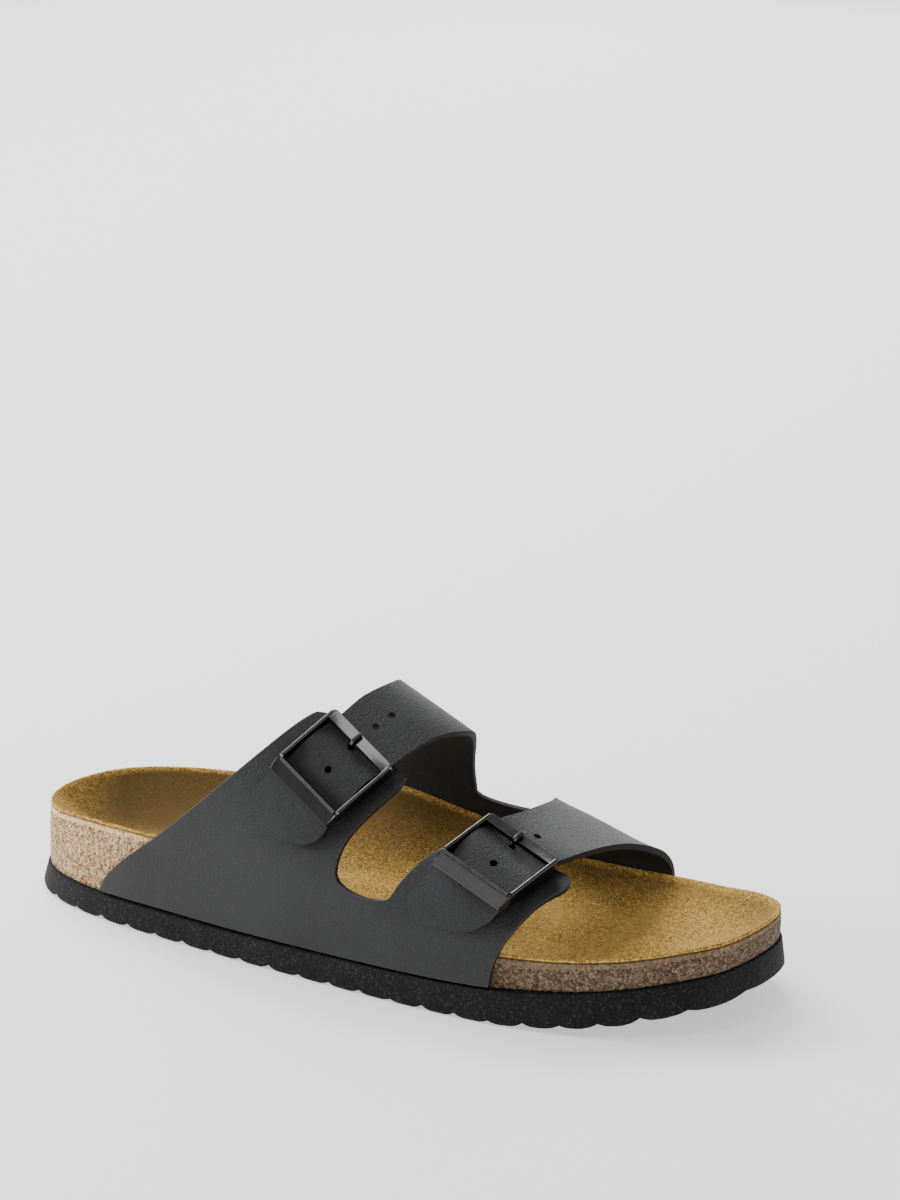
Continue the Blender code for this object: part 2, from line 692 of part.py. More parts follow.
def main():
    for obj in list(bpy.data.objects):
        bpy.data.objects.remove(obj, do_unlink=True)
    build_outsole()
    build_footbed()
    quarter("lateral_quarter", LATERAL_REAR, LATERAL_FRONT, LATERAL_SAG, ARM_ROUND, (6, 6, 5))
    medial = quarter("medial_quarter", MEDIAL_REAR, MEDIAL_FRONT, MEDIAL_SAG, TAB_ROUND, (5, 4, 5))
    build_holes("rear_hole_cutter", medial, REAR_PLACE, REAR_HOLES)
    build_holes("front_hole_cutter", medial, FRONT_PLACE, FRONT_HOLES)
    build_buckle("rear_buckle", REAR_PLACE)
    build_buckle("front_buckle", FRONT_PLACE)


main()
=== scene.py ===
# %% [markdown]
# # Cork footbed sandal, right foot
# A sandal of this kind is a moulded cork block on a foam sole, with a suede sheet over the
# cork and two leather panels that close over the foot with buckles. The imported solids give
# every place and size. This script dresses them: it makes finer versions of the visible
# pieces from the same sizes, and a node material for each of them.

# %% Load the frame
import bmesh
import bpy
import math
import numpy as np
from mathutils import Matrix, Vector


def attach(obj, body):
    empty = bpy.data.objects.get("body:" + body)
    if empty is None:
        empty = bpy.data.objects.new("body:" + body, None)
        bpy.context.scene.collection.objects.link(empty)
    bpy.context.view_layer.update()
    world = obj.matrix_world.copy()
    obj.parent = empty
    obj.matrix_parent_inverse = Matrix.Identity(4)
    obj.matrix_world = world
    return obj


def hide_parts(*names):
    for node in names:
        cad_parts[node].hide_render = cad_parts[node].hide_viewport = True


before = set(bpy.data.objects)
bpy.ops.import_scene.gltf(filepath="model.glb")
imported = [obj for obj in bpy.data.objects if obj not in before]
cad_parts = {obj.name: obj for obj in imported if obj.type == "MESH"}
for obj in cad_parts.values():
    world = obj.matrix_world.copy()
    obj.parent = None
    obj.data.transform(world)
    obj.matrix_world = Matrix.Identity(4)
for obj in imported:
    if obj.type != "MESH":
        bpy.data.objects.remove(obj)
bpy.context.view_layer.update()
print("nodes:", sorted(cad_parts))

# %% [markdown]
# The driving sizes are the ones the solids were made from, in millimetres in a working frame:
# heel tip of the cork at x = 0, toes to +X, big toe side to +Y, floor at z = 0. The meshes are
# denser here, and two sizes differ: the tread's grooves are drawn shallower and wider, and the
# buckle plates taper less, as the photograph shows them.

# %% Sizes
# Working frame to row frame
ORIGIN = (137.94, -6.14, 0.0)
MM = 0.001

# Footbed plan: half outlines of the cork, station by station
CORK_LENGTH = 276.0
HEEL_TIP_Y = 1.0
TOE_TIP_Y = 9.7
#        x     big toe side  little toe side
PLAN = [
    (8.0, 21.5, -16.0),
    (30.0, 32.4, -28.5),
    (62.0, 35.6, -36.1),
    (95.0, 33.3, -42.0),
    (130.0, 31.3, -46.9),
    (165.0, 36.5, -50.8),
    (195.0, 43.0, -52.3),
    (222.0, 44.6, -50.0),
    (244.0, 41.7, -43.1),
    (260.0, 34.4, -31.7),
    (270.0, 25.0, -20.7),
]

# Heights along the shoe
#        x    seam  rim big toe side  rim little toe side  bed floor  bowl power big / little
LEVELS = [
    (0.0, 8.7, 33.0, 31.0, 20.0, 2.4, 2.4),
    (30.0, 9.0, 36.0, 35.2, 19.0, 2.6, 2.6),
    (60.0, 9.5, 37.9, 36.5, 19.5, 2.6, 2.8),
    (90.0, 9.7, 41.6, 37.2, 21.5, 2.0, 3.2),
    (120.0, 10.1, 45.8, 35.4, 24.0, 1.7, 3.6),
    (150.0, 10.6, 39.5, 29.6, 23.2, 2.0, 4.0),
    (190.0, 11.7, 26.6, 24.7, 18.4, 4.5, 5.0),
    (215.0, 13.6, 25.0, 25.6, 18.0, 6.0, 6.0),
    (240.0, 16.7, 25.6, 28.0, 20.0, 5.5, 5.5),
    (262.0, 19.9, 29.2, 30.8, 23.0, 4.5, 4.5),
    (276.0, 22.2, 32.6, 32.9, 25.0, 4.0, 4.0),
]
LINING_THICK = 1.2
GAP = 0.3
# Metatarsal rise: x, y, length, width, height. Toe grip: x, half width, height; then how far
# its middle is ahead, how fast it bends back and the y of that middle
METATARSAL = (172.0, -2.0, 22.0, 15.0, 2.4)
TOE_GRIP = (229.0, 5.5, 1.8)
TOE_GRIP_BOW = (6.0, 0.006, -4.0)
TIP_BLEND = 12.0

# Outsole
#        x    proud of the cork: top edge, lower edge
FLANGE = [
    (0.0, 0.9, 2.4),
    (36.0, 1.8, 2.8),
    (60.0, 2.5, 3.0),
    (200.0, 2.5, 2.9),
    (232.0, 1.4, 2.3),
    (276.0, 0.9, 2.2),
]
#        x    underside height
SPRING = [
    (-3.0, 1.2),
    (6.0, 0.0),
    (100.0, 0.0),
    (196.0, 0.0),
    (220.0, 1.6),
    (240.0, 4.3),
    (258.0, 7.7),
    (276.0, 11.5),
    (280.0, 12.4),
]
# Grooves across the sole: pitch, place of the first, number, height of their wave
LUG_PITCH = 12.45
LUG_FIRST = 1.45
LUG_COUNT = 23
LUG_SWEEP = 3.0
# Section of a groove: depth, width, power of its curve, steps, reach of the cutter below
GROOVE_DEPTH = 1.35
GROOVE_WIDTH = 10.0
GROOVE_POWER = 1.9
GROOVE_STEPS = 8
GROOVE_BELOW = -3.0
# Run of a groove across the sole: ends, steps, middle and radius of its wave
GROOVE_ENDS = (-70.0, 62.0)
GROOVE_CUTS = 24
SWEEP_MIDDLE = -4.0
SWEEP_RADIUS = 22.0
SOLE_ROUND = 0.5

# Last: crest line of the closed upper and the two corner powers of its cross sections
#        x   crest y  crest z  little toe power  big toe power
CREST = [
    (40.0, 0.0, 135.0, 1.8, 2.2),
    (60.0, 0.0, 125.0, 1.8, 2.2),
    (95.0, 3.0, 107.5, 1.8, 2.3),
    (125.0, 5.0, 91.0, 1.8, 2.4),
    (155.0, 3.0, 75.3, 1.8, 2.4),
    (190.0, -16.0, 54.0, 2.1, 2.6),
    (220.0, -16.0, 45.3, 2.1, 1.9),
    (250.0, -15.0, 39.0, 2.0, 1.8),
]
UPPER_THICK = 2.2

# Quarters: pattern rows on the last. Place is (x, t), t runs round the section from 0 at the
# little toe seam to 1 at the big toe seam. Lift is the clearance of the inner face.
#        heel x   heel t   toe x    toe t    lift
LATERAL_REAR = [
    (36.5, 0.003, 139.0, 0.003, 0.0),
    (38.5, 0.021, 139.0, 0.050, 0.0),
    (43.1, 0.042, 138.4, 0.100, 0.0),
    (54.0, 0.078, 136.8, 0.160, 0.0),
    (64.4, 0.113, 137.5, 0.190, 0.0),
    (76.9, 0.165, 140.0, 0.226, 0.0),
    (88.1, 0.217, 143.2, 0.258, 0.0),
    (97.7, 0.269, 147.0, 0.298, 0.0),
    (105.6, 0.321, 149.8, 0.332, 0.0),
    (110.6, 0.362, 151.2, 0.354, 0.0),
    (116.0, 0.404, 151.4, 0.377, 0.0),
]
LATERAL_FRONT = [
    (157.0, 0.003, 197.8, 0.003, 0.0),
    (157.0, 0.050, 198.3, 0.038, 0.0),
    (157.8, 0.100, 200.2, 0.077, 0.0),
    (159.4, 0.158, 202.7, 0.114, 0.0),
    (163.2, 0.190, 206.8, 0.156, 0.6),
    (167.3, 0.226, 210.1, 0.194, 1.6),
    (172.3, 0.267, 213.8, 0.236, 1.2),
    (177.0, 0.298, 216.0, 0.266, 0.1),
    (180.5, 0.322, 216.8, 0.295, 0.0),
    (182.5, 0.345, 215.2, 0.330, 0.0),
]
MEDIAL_REAR = [
    (57.0, 0.997, 153.0, 0.997, 0.0),
    (60.0, 0.940, 153.0, 0.930, 0.0),
    (68.0, 0.890, 152.8, 0.865, 0.0),
    (80.0, 0.840, 151.6, 0.798, 0.0),
    (96.0, 0.782, 150.4, 0.757, 0.0),
    (111.0, 0.724, 151.6, 0.717, 0.0),
    (121.5, 0.664, 153.4, 0.672, 0.1),
    (127.4, 0.604, 155.6, 0.622, 0.6),
    (129.3, 0.546, 156.2, 0.568, 1.6),
    (128.1, 0.499, 153.6, 0.510, 2.6),
    (125.3, 0.455, 150.6, 0.454, 3.2),
    (124.2, 0.422, 147.9, 0.396, 3.7),
    (122.7, 0.397, 145.2, 0.362, 3.9),
    (120.6, 0.373, 142.8, 0.337, 4.3),
    (118.3, 0.350, 141.0, 0.315, 6.1),
    (116.7, 0.335, 139.4, 0.298, 5.6),
    (114.6, 0.316, 137.1, 0.274, 4.4),
    (111.8, 0.292, 134.6, 0.252, 3.7),
    (107.3, 0.267, 133.2, 0.236, 3.5),
    (103.2, 0.243, 132.2, 0.222, 2.6),
    (101.2, 0.218, 131.0, 0.207, 2.5),
    (100.6, 0.194, 129.6, 0.193, 2.5),
    (100.9, 0.176, 128.6, 0.181, 2.5),
]
MEDIAL_FRONT = [
    (176.0, 0.997, 224.0, 0.997, 0.0),
    (176.0, 0.930, 223.7, 0.940, 0.0),
    (176.2, 0.865, 222.6, 0.890, 0.0),
    (177.0, 0.804, 221.8, 0.838, 0.0),
    (180.6, 0.760, 221.2, 0.785, 0.0),
    (184.8, 0.706, 220.6, 0.732, 0.2),
    (187.4, 0.640, 219.7, 0.679, 0.8),
    (188.0, 0.560, 218.2, 0.598, 1.9),
    (187.2, 0.480, 216.2, 0.490, 2.9),
    (185.6, 0.415, 212.6, 0.374, 3.6),
    (184.0, 0.390, 210.2, 0.340, 3.8),
    (183.3, 0.372, 208.9, 0.321, 3.6),
    (182.7, 0.353, 207.9, 0.298, 3.5),
    (181.9, 0.331, 206.8, 0.275, 4.8),
    (181.1, 0.315, 205.9, 0.258, 6.0),
    (180.2, 0.295, 204.8, 0.238, 6.0),
    (179.2, 0.276, 203.7, 0.218, 5.5),
    (179.0, 0.263, 202.8, 0.204, 5.6),
    (178.4, 0.245, 201.7, 0.187, 5.8),
    (176.6, 0.227, 200.4, 0.174, 5.4),
    (172.2, 0.204, 199.0, 0.163, 4.6),
    (168.6, 0.178, 197.2, 0.153, 3.6),
    (165.6, 0.152, 196.0, 0.141, 3.0),
    (165.0, 0.124, 195.4, 0.124, 2.6),
]
# Rows that belong to the foot of a quarter, steps from one row to the next, and mesh cells
# across the rear arm, the foot between the arms and the front arm
BASE_ROWS = 4
ROW_STEPS = 4
LATERAL_CELLS = (20, 18, 16)
MEDIAL_CELLS = (16, 12, 18)
# Sag of the edge between the arms, in t; corner radius of the strap ends and of the buckle
# arms; rounding of the cut edges
LATERAL_SAG = -0.024
MEDIAL_SAG = 0.010
TAB_ROUND = 8.0
ARM_ROUND = 2.5
CUT_ROUND = 0.4

# Buckles: centre of the top plane, direction along the strap, direction across it. The bar
# side lies along +u, the plate side along -u, and heights count from the top plane
REAR_PLACE = ((130.4, -37.0, 76.3), (0.504, 0.647, 0.572), (0.843, -0.222, -0.490))
FRONT_PLACE = ((195.0, -41.5, 55.8), (0.290, 0.916, 0.278), (0.927, -0.195, -0.326))
FRAME_ACROSS = 31.0
FRAME_ALONG = 26.2
RAIL_WIDE = 1.5
RAIL_TALL = 5.0
BAR_WIDE = 4.0
BAR_DROP = 0.3
BAR_THICK = 2.0
BAR_SHORT = 0.6
RIDGE_WIDE = 1.1
PLATE_OUT = 4.5
PLATE_FALL = 2.2
PLATE_THICK = 1.3
PLATE_TAPER = 0.8
# Share of the plate's length where its matt part begins; corner radii and edge rounding
PLATE_MATT = 0.3
BAR_CORNER = 2.4
PLATE_CORNER = 1.2
CORNER_STEPS = 6
FRAME_ROUND = 0.5
# Beads on the rails: radius, height of the middle, how far each end stops short
BEAD_RADIUS = 0.72
BEAD_HEIGHT = -0.1
BEAD_BAR_END = 1.6
BEAD_PLATE_END = 1.0
BEAD_RAIL_END = 0.7
ROD_SIDES = 24
# Punched holes: radius, lower and upper end of the punch
HOLE_RADIUS = 1.3
HOLE_FROM = -16.0
HOLE_TO = 6.0
#             along  across
REAR_HOLES = [(-3.6, 0.2), (7.7, -1.0), (19.5, -2.6), (27.0, -3.6)]
FRONT_HOLES = [(-3.6, 0.2), (7.7, -1.0), (20.0, 0.0)]

# Mesh density: rings of the bed surface, points along each side of the plan, points of the
# outline, points of a last section, and the short steps that tangents are measured over
RINGS = (1.0, 0.985, 0.965, 0.94, 0.91, 0.87, 0.82, 0.76, 0.69, 0.61, 0.52, 0.42, 0.31, 0.2, 0.1, 0.0)
SIDE_STEPS = 100
OUTLINE_POINTS = 1200
SECTION_POINTS = 110
OUTLINE_STEP = 0.5
LAST_STEP = (1.5, 0.01)
# Ends of the spine that the bed's rings close on, and a place inside the foot
SPINE_FROM = 34.0
SPINE_TO = 240.0
FOOT_MIDDLE = (138.0, 0.0, 30.0)
print("sole length", CORK_LENGTH + FLANGE[0][2] + FLANGE[-1][2], "mm")

# %% [markdown]
# The shapes follow a few smooth functions of those tables: the plan outline, the height of
# the bed, and the cross section of the last that the leather was pulled over.

# %% Outline, bed and last
def clamp(value):
    """The value held between 0 and 1."""
    return min(max(value, 0.0), 1.0)


def run_length(line):
    """Length run along a line of points, at each of its points."""
    return np.concatenate([[0.0], np.cumsum(np.linalg.norm(np.diff(line, axis=0), axis=1))])


def curve(table, column, x):
    """Value of one table column at x, smooth and without overshoot."""
    xs = np.array([row[0] for row in table])
    ys = np.array([row[column] for row in table])
    secant = np.diff(ys) / np.diff(xs)
    same = secant[1:] * secant[:-1] > 0.0
    both = np.where(same, secant[1:] + secant[:-1], 1.0)
    inner = np.where(same, 2.0 * secant[1:] * secant[:-1] / both, 0.0)
    slopes = np.concatenate([secant[:1], inner, secant[-1:]])
    x = np.clip(np.asarray(x, float), xs[0], xs[-1])
    k = np.clip(np.searchsorted(xs, x) - 1, 0, len(xs) - 2)
    h = xs[k + 1] - xs[k]
    s = (x - xs[k]) / h
    a = (1 + 2 * s) * (1 - s) ** 2 * ys[k] + s * (1 - s) ** 2 * h * slopes[k]
    b = s * s * (3 - 2 * s) * ys[k + 1] - s * s * (1 - s) * h * slopes[k + 1]
    return a + b


def closed_spline(points, count):
    """Periodic cubic spline through the points, evenly stepped in its own parameter."""
    p = np.array(points, float)
    n = len(p)
    h = np.sqrt(np.linalg.norm(np.roll(p, -1, axis=0) - p, axis=1))
    system = np.zeros((n, n))
    right = np.zeros((n, 2))
    for i in range(n):
        before, after = h[i - 1], h[i]
        system[i, i - 1] += before
        system[i, i] += 2 * (before + after)
        system[i, (i + 1) % n] += after
        right[i] = 6 * ((p[(i + 1) % n] - p[i]) / after - (p[i] - p[i - 1]) / before)
    bend = np.linalg.solve(system, right)
    knots = np.concatenate([[0.0], np.cumsum(h)])
    out = []
    for t in np.linspace(0.0, knots[-1], count, endpoint=False):
        i = min(int(np.searchsorted(knots, t, side="right")) - 1, n - 1)
        j = (i + 1) % n
        a = (knots[i + 1] - t) / h[i]
        b = 1.0 - a
        cubic = ((a ** 3 - a) * bend[i] + (b ** 3 - b) * bend[j]) * h[i] ** 2 / 6
        out.append(a * p[i] + b * p[j] + cubic)
    return np.array(out)


def half_outlines():
    """Dense plan outline split in its two sides, both sorted from heel to toe."""
    little = [(x, low) for x, high, low in PLAN]
    big = [(x, high) for x, high, low in reversed(PLAN)]
    knots = [(0.0, HEEL_TIP_Y)] + little + [(CORK_LENGTH, TOE_TIP_Y)] + big
    loop = closed_spline(knots, OUTLINE_POINTS)
    tip = int(np.argmax(loop[:, 0]))
    tail = int(np.argmin(loop[:, 0]))
    loop = np.roll(loop, -tail, axis=0)
    tip = (tip - tail) % len(loop)
    one = loop[: tip + 1]
    two = np.vstack([loop[tip:], loop[:1]])[::-1]
    return (one, two) if one[len(one) // 2, 1] < 0 else (two, one)


LITTLE, BIG = half_outlines()


def side_y(x, big):
    """Plan edge at x on one side."""
    half = BIG if big else LITTLE
    return float(np.interp(x, half[:, 0], half[:, 1]))


def plan_loop(steps, grow):
    """Outline points, little toe side first: x, y, side, and their foot on the spine.

    The outline is grown by a number, or by a function of x. The spine is the middle line that
    the rings of the footbed close on. Both sides share its points, so the two halves meet.
    """
    halves = []
    for big, half in ((False, LITTLE), (True, BIG)):
        length = run_length(half)
        at = np.linspace(0.0, length[-1], steps + 1)
        pts = np.stack([np.interp(at, length, half[:, k]) for k in (0, 1)], axis=1)
        ahead, behind = (np.stack([np.interp(at + step, length, half[:, k]) for k in (0, 1)], axis=1)
                         for step in (OUTLINE_STEP, -OUTLINE_STEP))
        tangent = ahead - behind
        tangent[0] = (0.0, 1.0 if big else -1.0)
        tangent[-1] = (0.0, -1.0 if big else 1.0)
        tangent /= np.linalg.norm(tangent, axis=1)[:, None]
        turn = 1.0 if big else -1.0
        normal = np.stack([-tangent[:, 1] * turn, tangent[:, 0] * turn], axis=1)
        wide = grow(pts[:, 0]) if callable(grow) else grow
        halves.append(pts + normal * np.reshape(wide, (-1, 1)))
    middle = []
    for k in range(steps + 1):
        share = 0.5 * (halves[0][k, 0] + halves[1][k, 0]) / CORK_LENGTH
        at = SPINE_FROM + (SPINE_TO - SPINE_FROM) * clamp(share)
        middle.append((at, 0.5 * (side_y(at, True) + side_y(at, False))))
    little = [(*halves[0][k], False, middle[k]) for k in range(steps)]
    return little + [(*halves[1][k], True, middle[k]) for k in range(steps, 0, -1)]


def ring(loop, s):
    """The loop drawn towards the spine, s = 1 at the edge and 0 on the spine."""
    return [(cx + (x - cx) * s, cy + (y - cy) * s, big) for x, y, big, (cx, cy) in loop]


def bed_height(x, y, big, s):
    """Top of the lining: rim, heel bowl, arch, metatarsal rise and toe grip."""
    floor = float(curve(LEVELS, 4, x))
    rim = float(curve(LEVELS, 2 if big else 3, x))
    middle = 0.5 * float(curve(LEVELS, 2, x)) + 0.5 * float(curve(LEVELS, 3, x))
    tips = clamp(min(x, CORK_LENGTH - x) / TIP_BLEND)
    rim = middle + (rim - middle) * tips ** 0.5
    power = float(curve(LEVELS, 5 if big else 6, x))
    z = floor + (rim - floor) * s ** power
    mx, my, length, width, rise = METATARSAL
    away = ((x - mx) / length) ** 2 + ((y - my) / width) ** 2
    z += rise * math.exp(-away) * (1 - s ** 4)
    gx, half, rise = TOE_GRIP
    ahead, bend, bow_y = TOE_GRIP_BOW
    bow = gx + ahead - bend * (y - bow_y) ** 2
    z += rise * math.exp(-((x - bow) / half) ** 2) * (1 - s ** 3)
    return z


def rim_height(at):
    """Height of the rim beside a point of the working frame."""
    return bed_height(at.x, at.y, at.y > 0.0, 1.0)


def section(x):
    """Inner cross section of the closed upper, little toe seam to big toe seam."""
    low, high = side_y(x, False) - GAP, side_y(x, True) + GAP
    seam = float(curve(LEVELS, 1, x)) + GAP
    rim_low, rim_high = float(curve(LEVELS, 3, x)), float(curve(LEVELS, 2, x))
    cy, cz = float(curve(CREST, 1, x)), float(curve(CREST, 2, x))
    p_low, p_high = 2.0 / float(curve(CREST, 3, x)), 2.0 / float(curve(CREST, 4, x))
    a = np.linspace(0.0, math.pi / 2, SECTION_POINTS)
    c, s = np.clip(np.cos(a), 0, 1), np.sin(a)
    left = np.stack([cy + (low - cy) * c ** p_low, rim_low + (cz - rim_low) * s ** p_low], 1)
    right = np.stack([cy + (high - cy) * s ** p_high, rim_high + (cz - rim_high) * c ** p_high], 1)
    start = np.array([[low, seam]])
    end = np.array([[high, seam]])
    return np.vstack([start, left, right[1:], end])


def on_last(x, t):
    """Point of the last at pattern place (x, t)."""
    line = section(x)
    length = run_length(line)
    at = clamp(t) * length[-1]
    y, z = (float(np.interp(at, length, line[:, k])) for k in (0, 1))
    return Vector((x, y, z))


def lifted(x, t, lift):
    """Last point moved out along the normal."""
    here = on_last(x, t)
    if lift == 0.0:
        return here
    dx, dt = LAST_STEP
    along = on_last(x + dx, t) - on_last(x - dx, t)
    across = on_last(x, t + dt) - on_last(x, t - dt)
    normal = across.cross(along).normalized()
    return here - normal * lift


def row_place(point):
    """Working frame in millimetres to row frame in metres."""
    return (Vector(point) - Vector(ORIGIN)) * MM


def work_place(point):
    """Row frame in metres to working frame in millimetres."""
    return point / MM + Vector(ORIGIN)


print("seam height at the ball:", round(float(curve(LEVELS, 1, 195.0)), 2), "mm")

# %% [markdown]
# A material is easier to read as a formula than as a net of wires. A small class wraps a
# socket, so that an expression on two values adds the Math node that works it out.

# %% Shader values
class Value:
    """A socket of a node tree that takes part in sums."""

    def __init__(self, paint, socket):
        self.paint, self.socket = paint, socket

    def math(self, operation, first, second):
        return self.paint.node("ShaderNodeMath", {"operation": operation}, {0: first, 1: second})

    def __add__(self, other):
        return self.math("ADD", self, other)

    def __sub__(self, other):
        return self.math("SUBTRACT", self, other)

    def __rsub__(self, other):
        return self.math("SUBTRACT", other, self)

    def __mul__(self, other):
        return self.math("MULTIPLY", self, other)

    __radd__ = __add__
    __rmul__ = __mul__


class Paint:
    """One material: constants go on the shader, what varies goes through nodes."""

    def __init__(self, name, **constants):
        self.material = bpy.data.materials.new(name)
        self.material.use_nodes = True
        self.tree = self.material.node_tree
        self.shader = self.tree.nodes["Principled BSDF"]
        for key, value in constants.items():
            self.shader.inputs[key.replace("_", " ")].default_value = value
        self.place = self.node("ShaderNodeTexCoord", {}, {}, "Object")

    def node(self, kind, settings, values, out=0):
        """New node: a Value among its values is linked, anything else is set."""
        made = self.tree.nodes.new(kind)
        for key, value in settings.items():
            if key == "stops":
                ramp = made.color_ramp
                while len(ramp.elements) < len(value):
                    ramp.elements.new(1.0)
                for stop, (at, color) in zip(ramp.elements, value):
                    stop.position, stop.color = at, (*color, 1.0)
            else:
                setattr(made, key, value)
        for key, value in values.items():
            if isinstance(value, Value):
                self.tree.links.new(value.socket, made.inputs[key])
            else:
                made.inputs[key].default_value = value
        return Value(self, made.outputs[out])

    def noise(self, size, detail=3.0):
        """Noise whose blobs are about so many millimetres wide."""
        values = {"Scale": 1.0 / (size * MM), "Detail": detail, "Roughness": 0.6}
        return self.node("ShaderNodeTexNoise", {}, {"Vector": self.place, **values})

    def cells(self, size, feature="F1", out="Distance", place=None, **values):
        """Voronoi cells about so many millimetres wide."""
        values.update({"Vector": place or self.place, "Scale": 1.0 / (size * MM)})
        return self.node("ShaderNodeTexVoronoi", {"feature": feature}, values, out)

    def chance(self, size, channel="Red", place=None):
        """A random value of its own for each cell about so many millimetres wide."""
        color = self.cells(size, "F1", "Color", place)
        return self.node("ShaderNodeSeparateColor", {}, {"Color": color}, channel)

    def step(self, value, low, high):
        """0 below low, 1 above high, smooth between them."""
        return self.node("ShaderNodeMapRange", {"interpolation_type": "SMOOTHSTEP"},
                         {"Value": value, "From Min": low, "From Max": high})

    def ramp(self, value, *stops):
        """Colour of a value by stops of place and colour."""
        return self.node("ShaderNodeValToRGB", {"stops": stops}, {"Fac": value}, "Color")

    def mix(self, factor, one, two):
        """The first colour at factor 0, the second one at factor 1."""
        pick = {0: factor, 6: one, 7: two}
        for key in (6, 7):
            if isinstance(pick[key], tuple):
                pick[key] = (*pick[key], 1.0)
        return self.node("ShaderNodeMix", {"data_type": "RGBA"}, pick, 2)

    def axis(self, name):
        """One coordinate of the place, in metres."""
        return self.node("ShaderNodeSeparateXYZ", {}, {"Vector": self.place}, name)

    def bump(self, height, depth, strength=1.0):
        """Relief of a height of 1, raised by so many millimetres."""
        values = {"Height": height, "Distance": depth * MM, "Strength": strength}
        return self.node("ShaderNodeBump", {}, values)

    def finish(self, **links):
        """Link what varies to the shader and give the material."""
        for key, value in links.items():
            self.tree.links.new(value.socket, self.shader.inputs[key.replace("_", " ")])
        return self.material


print("shader helper ready")

# %% [markdown]
# The upper is near-black grained leather. Its pebbles are under a millimetre, so they are a
# bump, and colour and gloss change a little from place to place.

# %% Leather
def leather(name, dark, light, rough, grain):
    paint = Paint(name, Specular_IOR_Level=0.37)
    warp = paint.noise(3.0, 2.0)
    pebble = paint.cells(0.75, "SMOOTH_F1", Smoothness=0.5)
    fine = paint.noise(0.52, 3.0)
    clouds = paint.noise(24.0, 3.0)
    height = (1 - pebble) * 0.6 + warp * 0.5 + fine * 0.7
    color = paint.mix(paint.step(clouds * 0.3 + fine * 0.7, 0.41, 0.6), dark, light)
    gloss = (paint.step(fine, 0.35, 0.65) * 0.14) + (clouds * 0.12) + rough
    return paint.finish(Base_Color=color, Roughness=gloss, Normal=paint.bump(height, grain, 0.8))


# Name, darkest and lightest colour, roughness, relief in millimetres
LEATHER_FACE = leather("leather_face", (0.005, 0.0053, 0.0058), (0.0172, 0.0179, 0.019), 0.41, 0.22)
LEATHER_BACK = leather("leather_back", (0.008, 0.0078, 0.0077), (0.017, 0.0167, 0.0165), 0.7, 0.1)
# Painted highlight: a lighter leather for the rounded cut edges
LEATHER_EDGE_HIGHLIGHT = leather("leather_edge_highlight", (0.014, 0.0143, 0.015), (0.04, 0.0405, 0.042), 0.38, 0.05)
LEATHER_EDGE = leather("leather_edge", (0.0028, 0.0028, 0.003), (0.007, 0.007, 0.0073), 0.65, 0.08)
# The worn edge leather is a painted highlight on the rounded edges
print("leather face, back, worn edge and cut edge")

# %% [markdown]
# The suede of the bed is brushed: short fibres stand up and catch the light in specks, and
# strokes of the hand leave broad patches that are lighter or darker. An attribute named wall,
# which the cell of the bed fills, darkens the steep sides and the heel cup with painted shade.

# %% Suede
#    tone  colour
SUEDE_TONES = [
    (0.4, (0.12, 0.06, 0.008)),
    (0.47, (0.28, 0.155, 0.028)),
    (0.54, (0.43, 0.255, 0.056)),
    (0.64, (0.66, 0.44, 0.13)),
]
SUEDE_STROKE = (0.52, 0.325, 0.085)
# Painted shade: the colour that the wall attribute mixes in on the steep sides and in the heel cup
SUEDE_WALL_SHADE = (0.075, 0.046, 0.014)
SUEDE_SHEEN = (0.9, 0.7, 0.35, 1.0)


def suede(name, shade):
    paint = Paint(name, Sheen_Weight=0.12, Sheen_Roughness=0.4, Specular_IOR_Level=0.1,
                  Sheen_Tint=SUEDE_SHEEN)
    nap = paint.noise(0.6, 3.0)
    tuft = paint.noise(1.7, 3.0)
    speck = paint.chance(0.55)
    stroke = paint.noise(26.0, 3.0)
    tone = nap * 0.7 + speck * 0.16 + tuft * 0.14
    stops = [(at, tuple(part * shade for part in color)) for at, color in SUEDE_TONES]
    base = paint.ramp(tone, *stops)
    color = paint.mix(paint.step(stroke, 0.4, 0.68) * 0.25, base, SUEDE_STROKE)
    # The wall attribute carries painted shade
    wall = paint.node("ShaderNodeAttribute", {"attribute_name": "wall"}, {}, "Fac")
    color = paint.mix(wall * 0.93, color, SUEDE_WALL_SHADE)
    low = paint.bump(nap * 0.7 + tuft * 0.3, 0.35, 0.75)
    return paint.finish(Base_Color=color, Roughness=nap * 0.2 + 0.78, Normal=low)


# Name, brightness; the pale edge is a lighter copy of the nap, a painted highlight
SUEDE_NAP = suede("suede_nap", 1.0)
SUEDE_EDGE_HIGHLIGHT = suede("suede_edge_highlight", 1.75)
# The pale edge is a painted highlight
print("suede nap and pale edge")

# %% [markdown]
# Cork is ground and pressed: grains of about a millimetre with finer crumbs, each with its own
# tan, in a thin darker binder. The heel is paler than the arch and toe: partly the cork's own
# tone, partly painted light at the heel and painted shade towards the toe. At the sides the mould
# leaves the grains slightly proud.

# %% Cork
#       tone  colour, at the heel and from the arch to the toe; own tone plus painted light at the heel
#       and painted shade towards the toe
CORK_HEEL_TONE_AND_LIGHT = [
    (0.2, (0.2, 0.085, 0.03)),
    (0.36, (0.5, 0.28, 0.12)),
    (0.52, (0.79, 0.51, 0.25)),
    (0.78, (0.97, 0.76, 0.45)),
]
CORK_TOE_TONE_AND_SHADE = [
    (0.2, (0.07, 0.04, 0.02)),
    (0.42, (0.155, 0.096, 0.053)),
    (0.6, (0.235, 0.155, 0.092)),
    (0.82, (0.4, 0.29, 0.185)),
]
CORK_BINDER = (0.17, 0.09, 0.05)


